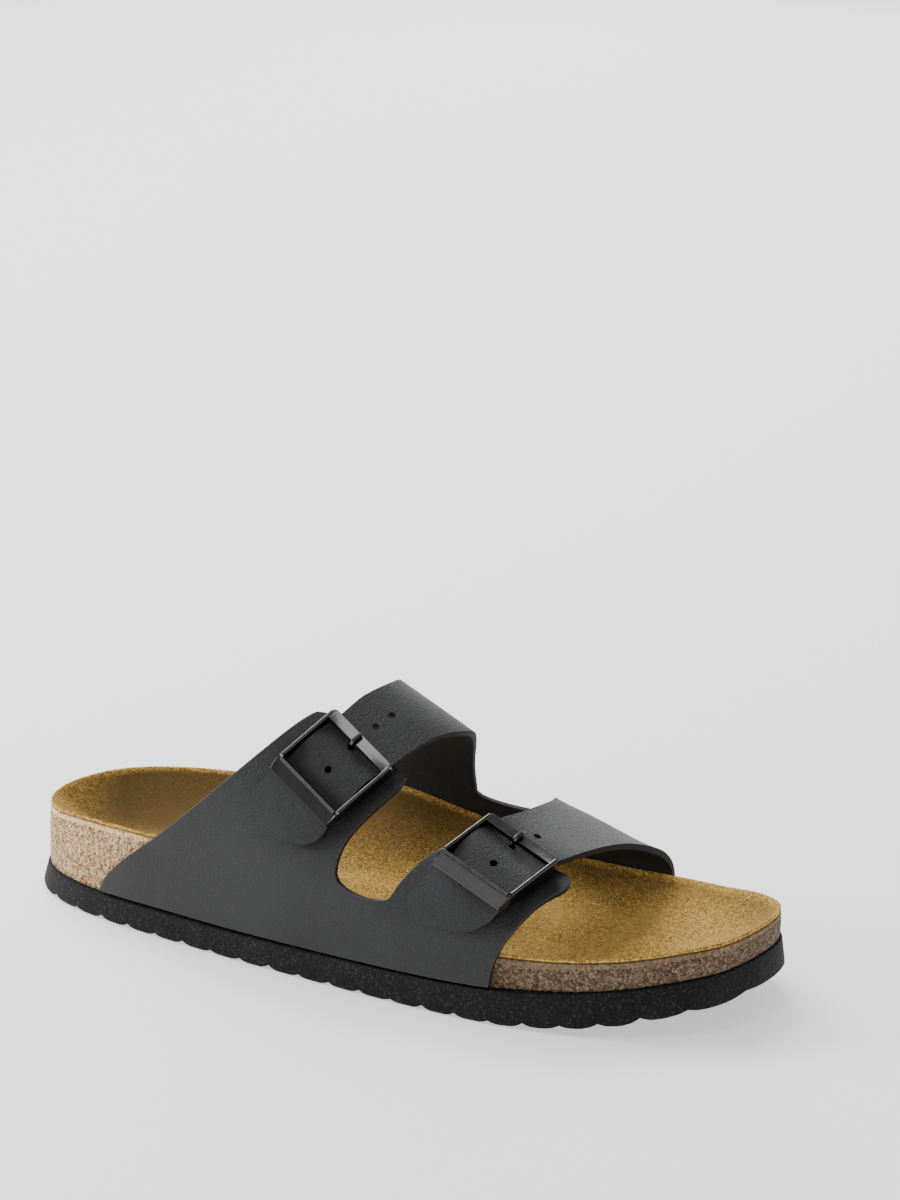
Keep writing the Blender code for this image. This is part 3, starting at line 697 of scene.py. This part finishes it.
def cork(name, size, contrast, depth):
    paint = Paint(name, Specular_IOR_Level=0.3)
    bend = paint.noise(3.0, 2.0)
    swirl_values = {"Vector": paint.place, "Scale": 700.0, "Detail": 3.0}
    swirl = paint.node("ShaderNodeTexNoise", {}, swirl_values, "Color")
    shift = paint.node("ShaderNodeVectorMath", {"operation": "SCALE"}, {0: swirl, "Scale": 0.0011})
    place = paint.node("ShaderNodeVectorMath", {"operation": "ADD"}, {0: paint.place, 1: shift})
    grain = paint.chance(size, "Red", place)
    crumb = paint.chance(size * 0.45, "Green", place)
    wall = paint.cells(size, "DISTANCE_TO_EDGE", "Distance", place)
    dust = paint.noise(0.5, 3.0)
    pick = ((grain * 0.4 + crumb * 0.35 + dust * 0.25) - 0.5) * contrast + 0.5
    # Heel to toe change: partly the cork's own tone, partly painted light at the heel and painted shade
    # towards the toe
    along = paint.step(paint.axis("X") + bend * 0.02, -0.08, 0.05)
    color = paint.mix(along, paint.ramp(pick, *CORK_HEEL_TONE_AND_LIGHT), paint.ramp(pick, *CORK_TOE_TONE_AND_SHADE))
    color = paint.mix((1 - paint.step(wall, 0.0, 0.09)) * 0.4, color, CORK_BINDER)
    round_grain = 1 - paint.cells(size, "F1", "Distance", place)
    height = round_grain * 0.8 + grain * 0.35 + crumb * 0.2 + dust * 0.3
    return paint.finish(Base_Color=color, Roughness=dust * 0.2 + 0.6,
                        Normal=paint.bump(height, depth, 0.9))


# Name, grain size, contrast, relief in millimetres
PRESSED_CORK = cork("pressed_cork", 0.9, 1.25, 2.2)
CORK_RIM = cork("cork_rim", 0.9, 0.7, 0.2)
print("cork side and smooth rim band")

# %% [markdown]
# The sole is a foamed rubber with a fine matt skin, and the buckles are dark lacquered metal
# that mirrors the studio in thin bright lines.

# %% Foam and metal
FOAM_DARK = (0.0018, 0.0018, 0.002)
FOAM_LIGHT = (0.0085, 0.0087, 0.0092)
FOAM_SPECK = (0.05, 0.05, 0.052)


def foam():
    paint = Paint("foam_rubber", Specular_IOR_Level=0.2)
    pore = paint.cells(1.1, "SMOOTH_F1", Smoothness=0.4)
    fine = paint.noise(0.75, 4.0)
    cloud = paint.noise(14.0, 2.0)
    color = paint.mix(paint.step(fine * 0.7 + cloud * 0.3, 0.42, 0.62), FOAM_DARK, FOAM_LIGHT)
    speck = paint.chance(0.55)
    color = paint.mix(paint.step(speck, 0.8, 0.97) * 0.5, color, FOAM_SPECK)
    return paint.finish(Base_Color=color, Roughness=fine * 0.2 + 0.62,
                        Normal=paint.bump(pore * 0.5 + fine * 0.7, 0.55, 1.0))


def lacquer(name, dark, light, rough):
    paint = Paint(name, Metallic=1.0, Coat_Weight=0.6, Coat_Roughness=rough * 0.6)
    smear = paint.noise(5.0, 3.0)
    grit = paint.noise(0.5, 2.0)
    color = paint.mix(smear, (dark, dark, dark * 1.02), (light, light, light * 1.02))
    return paint.finish(Base_Color=color, Roughness=smear * 0.14 + rough,
                        Normal=paint.bump(grit, 0.008, 0.3))


FOAM_RUBBER = foam()

# Name, darkest and lightest grey, roughness
LACQUER = lacquer("dark_lacquered_metal", 0.03, 0.07, 0.17)
PLATE_LACQUER = lacquer("matt_plate_metal", 0.012, 0.03, 0.42)
print("foam and lacquer")

# %% [markdown]
# Each new piece is a grid that is laid through rows of points on the last or the bed, then
# closed, thickened and rounded. It takes the place of the coarse solid of the same piece.

# %% Piece helpers
# Points closer than this are one, in metres; the arms of a quarter meet a little less exactly
MERGE = 0.00001
MERGE_ARMS = 0.0001


def grid_mesh(rows, bm):
    """Lay a Blender grid through the rows of points."""
    lines, across = len(rows), len(rows[0])
    made = bmesh.ops.create_grid(bm, x_segments=across - 1, y_segments=lines - 1, size=1.0)
    verts = sorted(made["verts"], key=lambda v: (round(v.co.y, 5), round(v.co.x, 5)))
    for vert, place in zip(verts, (p for row in rows for p in row)):
        vert.co = row_place(place)


def as_mesh(name, bm):
    mesh = bpy.data.meshes.new(name)
    bm.to_mesh(mesh)
    bm.free()
    return mesh


def finish_mesh(name, bm):
    """Merge the seams, drop crushed faces and turn all faces outwards."""
    bmesh.ops.remove_doubles(bm, verts=bm.verts, dist=MERGE)
    bmesh.ops.dissolve_degenerate(bm, dist=MERGE / 2, edges=bm.edges)
    bmesh.ops.recalc_face_normals(bm, faces=bm.faces)
    return as_mesh(name, bm)


def skin(name, rows):
    """Closed surface through rows of points, each row a closed loop, ends drawn shut."""
    bm = bmesh.new()
    grid_mesh([list(row) + [row[0]] for row in rows], bm)
    return finish_mesh(name, bm)


def in_scene(name, data):
    """New object that is linked to the scene."""
    made = bpy.data.objects.new(name, data)
    bpy.context.scene.collection.objects.link(made)
    return made


def modify(obj, kind, **values):
    """Add a modifier and set its values."""
    mod = obj.modifiers.new(kind.title(), kind)
    for key, value in values.items():
        setattr(mod, key, value)


def dress(name, mesh, materials, slot, *nodes):
    """Put a new piece in the scene in place of its solids."""
    piece = in_scene(name, mesh)
    for material in materials:
        mesh.materials.append(material)
    mesh.shade_smooth()
    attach(piece, "root")
    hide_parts(*nodes)
    print(name, len(mesh.polygons), "faces")
    return piece


def settle(piece):
    """Turn the modifiers of a piece into its mesh."""
    shape = piece.evaluated_get(bpy.context.evaluated_depsgraph_get())
    mesh = bpy.data.meshes.new_from_object(shape)
    piece.modifiers.clear()
    piece.data = mesh


def cut(piece, cutter_mesh):
    """Cut a mesh out of a piece; the cutter is gone afterwards."""
    cutter = in_scene("cutter", cutter_mesh)
    modify(piece, "BOOLEAN", operation="DIFFERENCE", object=cutter, solver="EXACT")
    settle(piece)
    bpy.data.objects.remove(cutter, do_unlink=True)


def soften(piece, width, segments, angle, slot=-1):
    """Round the edges that are sharper than the angle; the new faces may get a material slot."""
    modify(piece, "BEVEL", width=width * MM, segments=segments, limit_method="ANGLE",
           angle_limit=math.radians(angle), harden_normals=True, material=slot)


print("piece helpers ready")

# %% [markdown]
# The sole is a slab with a flange that stands proud of the cork. Cross grooves from below
# give its edge the row of scallops that shows from the side.

# %% Outsole
# Rings of the slab: share of the outline, then height above the floor side or depth below
# the seam side. The last ones of the underside and the first ones of the top round its edges.
SOLE_UNDER = [(0.0, 0.0), (0.3, 0.0), (0.6, 0.0), (0.85, 0.0), (0.97, 0.0), (0.993, 0.15), (1.0, 0.7)]
SOLE_TOP = [(1.0, 0.9), (0.994, 0.25), (0.98, 0.0), (0.9, 0.0), (0.6, 0.0), (0.0, 0.0)]
# Uneven groove depths: share and pace of two waves
GROOVE_WAVES = [(0.18, 2.3), (0.08, 5.1)]


def groove_profile(k):
    """Section of one groove; a little deeper or shallower from one to the next."""
    half, steps = GROOVE_WIDTH / 2, GROOVE_STEPS
    depth = GROOVE_DEPTH * (1.0 + sum(share * math.sin(pace * k) for share, pace in GROOVE_WAVES))
    side = [(half * (1.0 - j / steps), depth * (j / steps) ** GROOVE_POWER) for j in range(steps + 1)]
    mirrored = [(-a, b) for a, b in side]
    return [(-half, GROOVE_BELOW)] + mirrored + side[-2::-1] + [(half, GROOVE_BELOW)]


def make_outsole():
    """Slab with a flange, and the wavy grooves cut out of its underside."""
    top = plan_loop(SIDE_STEPS, lambda x: curve(FLANGE, 1, x))
    low = plan_loop(SIDE_STEPS, lambda x: curve(FLANGE, 2, x))
    rows = []
    for s, lift in SOLE_UNDER:
        rows.append([(x, y, float(curve(SPRING, 1, x)) + lift) for x, y, big in ring(low, s)])
    for s, drop in SOLE_TOP:
        seam = [(x, y, float(curve(LEVELS, 1, x))) for x, y, big in ring(top, s)]
        rows.append([(x, y, z - GAP / 2 - drop) for x, y, z in seam])
    sole = dress("foam_outsole", skin("foam_outsole", rows), [FOAM_RUBBER], "foam", "outsole")
    bm = bmesh.new()
    for k in range(1, LUG_COUNT):
        profile = groove_profile(k)
        x0 = LUG_FIRST + LUG_PITCH * k
        z0 = float(curve(SPRING, 1, x0))
        slope = float(curve(SPRING, 1, x0 + 1.0) - curve(SPRING, 1, x0 - 1.0)) / 2
        c, s = math.cos(math.atan(slope)), math.sin(math.atan(slope))
        rows = []
        for y in np.linspace(*GROOVE_ENDS, GROOVE_CUTS + 1):
            xm = x0 + LUG_SWEEP * (math.cos((y - SWEEP_MIDDLE) / SWEEP_RADIUS) - 1.0) * 0.5
            rows.append([(xm + a * c - b * s, y, z0 + a * s + b * c) for a, b in profile])
        ends = [[rows[0][0]] * len(profile), [rows[-1][0]] * len(profile)]
        grid_mesh([list(r) + [r[0]] for r in [ends[0]] + rows + [ends[1]]], bm)
    cut(sole, finish_mesh("grooves", bm))
    soften(sole, SOLE_ROUND, 2, 40)


make_outsole()

# %% [markdown]
# The footbed is one moulded block. Its side bulges a little and its rim is rounded over, and
# the suede sheet on top ends in a thin edge on that rim, made paler as a painted highlight.

# %% Footbed and suede
# Cork block: rings of its underside, steps up its side, bulge of the side and its power, how
# far the top is drawn in, and the height of the smooth band under the rim
BLOCK_RINGS = (0.0, 0.5, 0.97)
SIDE_SHARES = (0.0, 0.08, 0.2, 0.35, 0.5, 0.65, 0.8, 0.92, 0.97)
BULGE = 0.25
BULGE_POWER = 0.7
BLOCK_IN = -0.35
RIM_BAND = 2.3
# Suede sheet: shares of its thickness in the edge, how far the top is drawn in, and the
# normal below which a face counts as edge
EDGE_SHARES = (0.25, 0.6)
SHEET_IN = -0.3
EDGE_NORMAL = 0.35
# Shade painted on the walls of the bed: weight of slope, of facing the little toe side and of
# facing the heel; strength; depth below the rim where it starts and over which it grows
WALL_LEAN = (0.55, 0.45, 0.1)
WALL_SHADE = 2.4
WALL_START = 0.7
WALL_GROWTH = 1.2
# Shade in the heel cup: strength, depth below the rim, end along the shoe and length of fade
CUP_SHADE = 0.6
CUP_DEPTH = 14.0
CUP_END = 105.0
CUP_FADE = 50.0


def bed_rows(loop, drop):
    """Rings of the bed surface from the rim to the spine, lowered by drop."""
    rows = []
    for s in RINGS:
        rows.append([(x, y, bed_height(x, y, big, s) - drop) for x, y, big in ring(loop, s)])
    return rows


def make_footbed():
    """Cork block with a bulging side; the band under its rim is smooth."""
    loop = plan_loop(SIDE_STEPS, 0.0)
    rows = []
    for s in BLOCK_RINGS:
        rows.append([(x, y, float(curve(LEVELS, 1, x)) + GAP / 2) for x, y, big in ring(loop, s)])
    for share in SIDE_SHARES:
        row = []
        swell = BULGE * math.sin(math.pi * share) ** BULGE_POWER
        outer = plan_loop(SIDE_STEPS, swell)
        for x, y, big in ring(outer, 1.0):
            low = float(curve(LEVELS, 1, x)) + GAP / 2
            high = bed_height(x, y, big, 1.0) - LINING_THICK - GAP
            row.append((x, y, low + (high - low) * share))
        rows.append(row)
    rows += bed_rows(plan_loop(SIDE_STEPS, BLOCK_IN), LINING_THICK + GAP)
    mesh = skin("cork_block", rows)
    block = dress("cork_block", mesh, [PRESSED_CORK, CORK_RIM], "cork", "cork_footbed")
    for face in block.data.polygons:
        at = work_place(face.center)
        if rim_height(at) - LINING_THICK - at.z < RIM_BAND:
            face.material_index = 1


def make_bed():
    """Suede sheet that follows the bed, with its edge in a painted highlight and its painted shade."""
    inner = bed_rows(plan_loop(SIDE_STEPS, 0.0), LINING_THICK)[::-1]
    edge = [[(x, y, z + share * LINING_THICK) for x, y, z in inner[-1]] for share in EDGE_SHARES]
    rim = bed_rows(plan_loop(SIDE_STEPS, SHEET_IN), 0.0)
    mesh = skin("suede_bed", inner + edge + rim)
    bed = dress("suede_bed", mesh, [SUEDE_NAP, SUEDE_EDGE_HIGHLIGHT], "suede", "suede_lining")
    # Painted highlight: the steep edge faces get the paler copy of the suede
    for face in bed.data.polygons:
        if abs(face.normal.z) < EDGE_NORMAL:
            face.material_index = 1
    # Painted shade: wall darkens the steep sides that face away from the key lamp, and the heel cup
    wall = bed.data.attributes.new("wall", "FLOAT", "POINT")
    slope, little_side, heel_side = WALL_LEAN
    for vert in bed.data.vertices:
        normal = vert.normal
        lean = slope * (1.0 - normal.z) - little_side * normal.y - heel_side * normal.x
        at = work_place(vert.co)
        sink = rim_height(at) - at.z
        cup = clamp(sink / CUP_DEPTH) * clamp((CUP_END - at.x) / CUP_FADE)
        shade = WALL_SHADE * clamp((sink - WALL_START) / WALL_GROWTH) * lean + CUP_SHADE * cup
        wall.data[vert.index].value = clamp(shade)


make_footbed()
make_bed()

# %% [markdown]
# The two quarters are cut flat and pulled over the last. Each is a foot along the seam with
# two arms; the arms of the inner quarter are the straps that run through the buckles.

# %% Leather quarters
def dense(table):
    """Pattern table with extra smooth rows between the given ones."""
    keyed = [(float(i), *row) for i, row in enumerate(table)]
    at = np.linspace(0.0, len(table) - 1.0, (len(table) - 1) * ROW_STEPS + 1)
    return [[float(curve(keyed, c, k)) for c in range(1, 6)] for k in at]


def band(rows, cells, round_to, to_end):
    """Pattern rows to points; the end corners are pulled in on a quarter circle."""
    out = []
    for (hx, ht, tx, tt, lift), back in zip(rows, to_end):
        pull = 0.0
        if back < round_to:
            pull = round_to - math.sqrt(max(round_to ** 2 - (round_to - back) ** 2, 0.0))
        wide = (on_last(tx, tt) - on_last(hx, ht)).length
        margin = pull / wide
        line = []
        for k in range(cells + 1):
            w = margin + (1.0 - 2.0 * margin) * k / cells
            line.append(lifted(hx + (tx - hx) * w, ht + (tt - ht) * w, lift))
        out.append(line)
    return out


def eased(rows, passes=10):
    """Pattern rows with their small kinks evened out; foot and end rows stay."""
    table = np.array(rows)
    for _ in range(passes):
        table[1:-1] = 0.25 * table[:-2] + 0.5 * table[1:-1] + 0.25 * table[2:]
    return table.tolist()


def quarter_mesh(name, rear, front, sag, radius, cells):
    """Two arms and the foot between them, whose edge sags on an oval between the arms."""
    rear, front = eased(dense(rear)), eased(dense(front))
    foot = (BASE_ROWS - 1) * ROW_STEPS + 1
    bm = bmesh.new()
    for rows, count in ((rear, cells[0]), (front, cells[2])):
        middle = [on_last(0.5 * (r[0] + r[2]), 0.5 * (r[1] + r[3])) for r in rows]
        to_end = [0.0]
        for a, b in zip(middle[::-1], middle[-2::-1]):
            to_end.append(to_end[-1] + (a - b).length)
        grid_mesh(band(rows, count, radius, to_end[::-1]), bm)
    rows = []
    for k in range(foot):
        (hx, ht), (tx, tt) = rear[k][2:4], front[k][0:2]
        line = []
        for j in range(cells[1] + 1):
            w = j / cells[1]
            bow = math.sqrt(max(1.0 - (2.0 * w - 1.0) ** 2, 0.0))
            dip = sag * bow * (k / (foot - 1.0)) ** 2
            lift = rear[k][4] + (front[k][4] - rear[k][4]) * w
            line.append(lifted(hx + (tx - hx) * w, ht + (tt - ht) * w + dip, lift))
        rows.append(line)
    grid_mesh(rows, bm)
    bmesh.ops.remove_doubles(bm, verts=bm.verts, dist=MERGE_ARMS)
    bmesh.ops.recalc_face_normals(bm, faces=bm.faces)
    probe = max(bm.faces, key=lambda f: f.calc_area())
    if probe.normal.dot(probe.calc_center_median() - row_place(FOOT_MIDDLE)) < 0:
        bmesh.ops.reverse_faces(bm, faces=bm.faces)
    return as_mesh(name, bm)


def make_quarter(name, node, *pattern):
    """Thicken the panel; face, back, cut edge and rounded edge each have a material slot, the rounded
    edge one a painted highlight.
    """
    mesh = quarter_mesh(name, *pattern)
    piece = dress(name, mesh, [LEATHER_FACE, LEATHER_BACK, LEATHER_EDGE, LEATHER_EDGE_HIGHLIGHT], "leather", node)
    modify(piece, "SOLIDIFY", thickness=UPPER_THICK * MM, offset=1.0, use_even_offset=True,
           material_offset=1, material_offset_rim=2)
    settle(piece)
    return piece


lateral = make_quarter("lateral_panel", "lateral_quarter", LATERAL_REAR, LATERAL_FRONT,
                       LATERAL_SAG, ARM_ROUND, LATERAL_CELLS)
medial = make_quarter("medial_panel", "medial_quarter", MEDIAL_REAR, MEDIAL_FRONT,
                      MEDIAL_SAG, TAB_ROUND, MEDIAL_CELLS)

# %% [markdown]
# The holes are punched along the buckle's own upright, and then every cut edge of the
# leather is rounded by a fraction of a millimetre, as a worn edge is; the rounded faces get a lighter
# leather as a painted highlight.

# %% Punched holes
def placed(place, u, v, w):
    """Point of a buckle: u along the strap, v across it, w above its top plane."""
    centre, along, across = (Vector(p) for p in place)
    along = along.normalized()
    across = (across - along * across.dot(along)).normalized()
    up = across.cross(along)
    if up.z < 0:
        up = -up
    return centre + along * u + across * v + up * w


def rod(bm, start, end, radius):
    """Closed cylinder between two places of the working frame."""
    a, b = row_place(start), row_place(end)
    turn = (b - a).to_track_quat("Z", "Y").to_matrix().to_4x4()
    bmesh.ops.create_cone(bm, cap_ends=True, segments=ROD_SIDES, radius1=radius * MM,
                          radius2=radius * MM, depth=(b - a).length,
                          matrix=Matrix.Translation((a + b) / 2) @ turn)


def punch(piece, place, holes):
    """Round holes through a strap, along the upright of its buckle."""
    bm = bmesh.new()
    for u, v in holes:
        rod(bm, placed(place, u, v, HOLE_FROM), placed(place, u, v, HOLE_TO), HOLE_RADIUS)
    cut(piece, finish_mesh("punch", bm))


punch(medial, REAR_PLACE, REAR_HOLES)
punch(medial, FRONT_PLACE, FRONT_HOLES)
# Painted highlight: the rounded edge faces get the lighter leather of slot 3
highlight_slot = 3
soften(medial, CUT_ROUND, 3, 50, highlight_slot)
soften(lateral, CUT_ROUND, 3, 50, highlight_slot)
print("holes:", len(REAR_HOLES), "and", len(FRONT_HOLES))

# %% [markdown]
# A buckle frame is one casting: two side rails, a broad upper bar, and below a thin ridge
# with a plate that slopes outwards. Its outer corners are round. Thin beads along the rails
# catch the light, and the outer part of the plate is matt, so that it mirrors no lamp.

# %% Buckle frames
def make_frame(name, node, place):
    """Closed ring of rails, bar and plate, with round corners and beads."""
    half_v, half_u = FRAME_ACROSS / 2, FRAME_ALONG / 2
    in_v, deep = half_v - RAIL_WIDE, -RAIL_TALL
    low, high = -BAR_DROP - BAR_THICK, -BAR_DROP

    def corner(su, sv):
        inner = half_u - (BAR_WIDE if su > 0 else RIDGE_WIDE)
        return [(su * inner, sv * in_v, deep), (su * half_u, sv * half_v, deep),
                (su * half_u, sv * half_v, 0.0), (su * inner, sv * in_v, 0.0)]

    def band_bar(sv):
        v = sv * (in_v - BAR_SHORT)
        inner = half_u - BAR_WIDE
        return [(inner, v, low), (half_u, v, low), (half_u, v, high), (inner, v, high)]

    def plate(sv):
        v = sv * (half_v - PLATE_TAPER)
        inner, outer = -half_u + RIDGE_WIDE, -half_u - PLATE_OUT
        fall = -PLATE_FALL
        return [(inner, v, low), (outer, v, fall - PLATE_THICK), (outer, v, fall), (inner, v, 0.0)]

    stations = [corner(1, -1), band_bar(-1), band_bar(1), corner(1, 1)]
    stations += [corner(-1, 1), plate(1), plate(-1), corner(-1, -1), corner(1, -1)]
    bm = bmesh.new()
    grid_mesh([[placed(place, *p) for p in st + st[:1]] for st in stations], bm)
    bmesh.ops.remove_doubles(bm, verts=bm.verts, dist=MERGE)
    for su, sv in ((1, -1), (1, 1), (-1, -1), (-1, 1)):
        radius = BAR_CORNER if su > 0 else PLATE_CORNER
        ends = [row_place(placed(place, su * half_u, sv * half_v, w)) for w in (0.0, deep)]
        corner_edge = [e for e in bm.edges
                       if all(min((v.co - end).length for end in ends) < MERGE for v in e.verts)]
        bmesh.ops.bevel(bm, geom=corner_edge, offset=radius * MM, offset_type="OFFSET",
                        segments=CORNER_STEPS, profile=0.5, affect="EDGES", material=-1)
    rail, ridge = half_v - RAIL_WIDE / 2, -half_u + RIDGE_WIDE / 2
    lines = [((ridge + BEAD_PLATE_END, v), (half_u - BEAD_BAR_END, v)) for v in (-rail, rail)]
    lines.append(((ridge, -rail + BEAD_RAIL_END), (ridge, rail - BEAD_RAIL_END)))
    for start, end in lines:
        rod(bm, placed(place, *start, BEAD_HEIGHT), placed(place, *end, BEAD_HEIGHT), BEAD_RADIUS)
    piece = dress(name, finish_mesh(name, bm), [LACQUER, PLATE_LACQUER], "metal", node)
    for face in piece.data.polygons:
        reach = (work_place(face.center) - Vector(place[0])).dot(Vector(place[1]))
        if reach < -half_u - PLATE_MATT * PLATE_OUT:
            face.material_index = 1
    soften(piece, FRAME_ROUND, 4, 30)


make_frame("rear_frame", "rear_buckle_frame", REAR_PLACE)
make_frame("front_frame", "front_buckle_frame", FRONT_PLACE)
for node in ("rear_buckle_bar", "rear_buckle_prong", "front_buckle_bar", "front_buckle_prong"):
    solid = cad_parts[node]
    solid.data.materials.clear()
    solid.data.materials.append(LACQUER)
print("bars and prongs lacquered")

# %% [markdown]
# The studio is a pale floor in pale surrounding light. The key light stands high behind the
# heel. A low one shines from the heel end, a weak one from above on the camera's side, and a
# wide low one from behind.

# %% Floor and light
FLOOR_SIZE = 6.0
FLOOR_DROP = 0.0003
FLOOR_GRAY = (0.72, 0.72, 0.72, 1.0)
FLOOR_GLOW = 0.72
WHITE = (1.0, 1.0, 1.0, 1.0)
SKY_COLOR = (0.9, 0.9, 0.91, 1.0)
SKY_STRENGTH = 0.5
#    name, place, aimed at, size, power
LAMPS = [
    ("key", (-1.05, 0.75, 1.65), (0.0, 0.0, 0.03), 1.5, 60.0),
    ("side", (-1.7, -0.55, 0.7), (0.0, 0.0, 0.03), 0.7, 30.0),
    ("front", (-0.1, -0.85, 1.65), (0.0, 0.0, 0.05), 0.6, 5.0),
    ("back", (-0.75, 1.9, 0.75), (0.0, 0.0, 0.05), 1.2, 16.0),
]


def area_light(name, place, target, size, power):
    """Round soft lamp that is aimed at the target."""
    lamp = bpy.data.lights.new(name, "AREA")
    lamp.shape = "DISK"
    lamp.size, lamp.energy = size, power
    holder = in_scene(name, lamp)
    holder.location = place
    holder.rotation_euler = (Vector(target) - Vector(place)).to_track_quat("-Z", "Y").to_euler()


def make_stage():
    """Floor just under the sole; it is stage, not a piece of the sandal."""
    bm = bmesh.new()
    bmesh.ops.create_grid(bm, x_segments=1, y_segments=1, size=FLOOR_SIZE)
    floor = in_scene("floor", as_mesh("floor", bm))
    floor.location.z = -FLOOR_DROP
    paint = Paint("pale_floor", Base_Color=FLOOR_GRAY, Roughness=0.9, Specular_IOR_Level=0.1,
                  Emission_Color=WHITE, Emission_Strength=FLOOR_GLOW)
    floor.data.materials.append(paint.material)


make_stage()
for lamp_values in LAMPS:
    area_light(*lamp_values)
world = bpy.data.worlds.new("studio")
world.use_nodes = True
sky = world.node_tree.nodes["Background"]
sky.inputs["Color"].default_value = SKY_COLOR
sky.inputs["Strength"].default_value = SKY_STRENGTH
bpy.context.scene.world = world
print("studio lit with", len(LAMPS), "lamps")

# %% [markdown]
# The camera was fitted to outlines that were traced in the photograph, so a render can be
# laid over it. Angles are in degrees, distance and target in millimetres of the working frame.

# %% Camera
AZIMUTH, ELEVATION, ROLL = 24.601, 17.07, 1.627
DISTANCE = 1513.6
TARGET = (138.0, 0.0, 20.0)
TARGET_PIXEL = (398.6, 885.9)
IMAGE = (900.0, 1200.0)
FOCAL_PIXELS = 4310.3
SENSOR = 36.0


def make_camera():
    """Camera at a distance from the target, which falls on a given pixel of the picture."""
    az, el, roll = (math.radians(a) for a in (AZIMUTH, ELEVATION, ROLL))
    back = Vector((math.sin(az) * math.cos(el), -math.cos(az) * math.cos(el), math.sin(el)))
    level = Vector((math.cos(az), math.sin(az), 0.0))
    upright = back.cross(level)
    right = level * math.cos(roll) + upright * math.sin(roll)
    up = upright * math.cos(roll) - level * math.sin(roll)
    side = -(TARGET_PIXEL[0] - IMAGE[0] / 2) / FOCAL_PIXELS * DISTANCE
    rise = (TARGET_PIXEL[1] - IMAGE[1] / 2) / FOCAL_PIXELS * DISTANCE
    place = row_place(Vector(TARGET) + back * DISTANCE + right * side + up * rise)
    data = bpy.data.cameras.new("camera")
    data.lens = FOCAL_PIXELS * SENSOR / IMAGE[1]
    data.sensor_width = SENSOR
    holder = in_scene("camera", data)
    turn = Matrix((right, up, back)).transposed()
    holder.matrix_world = Matrix.Translation(place) @ turn.to_4x4()
    bpy.context.scene.camera = holder
    print("camera at", [round(c, 3) for c in place], "lens", round(data.lens, 1))


make_camera()
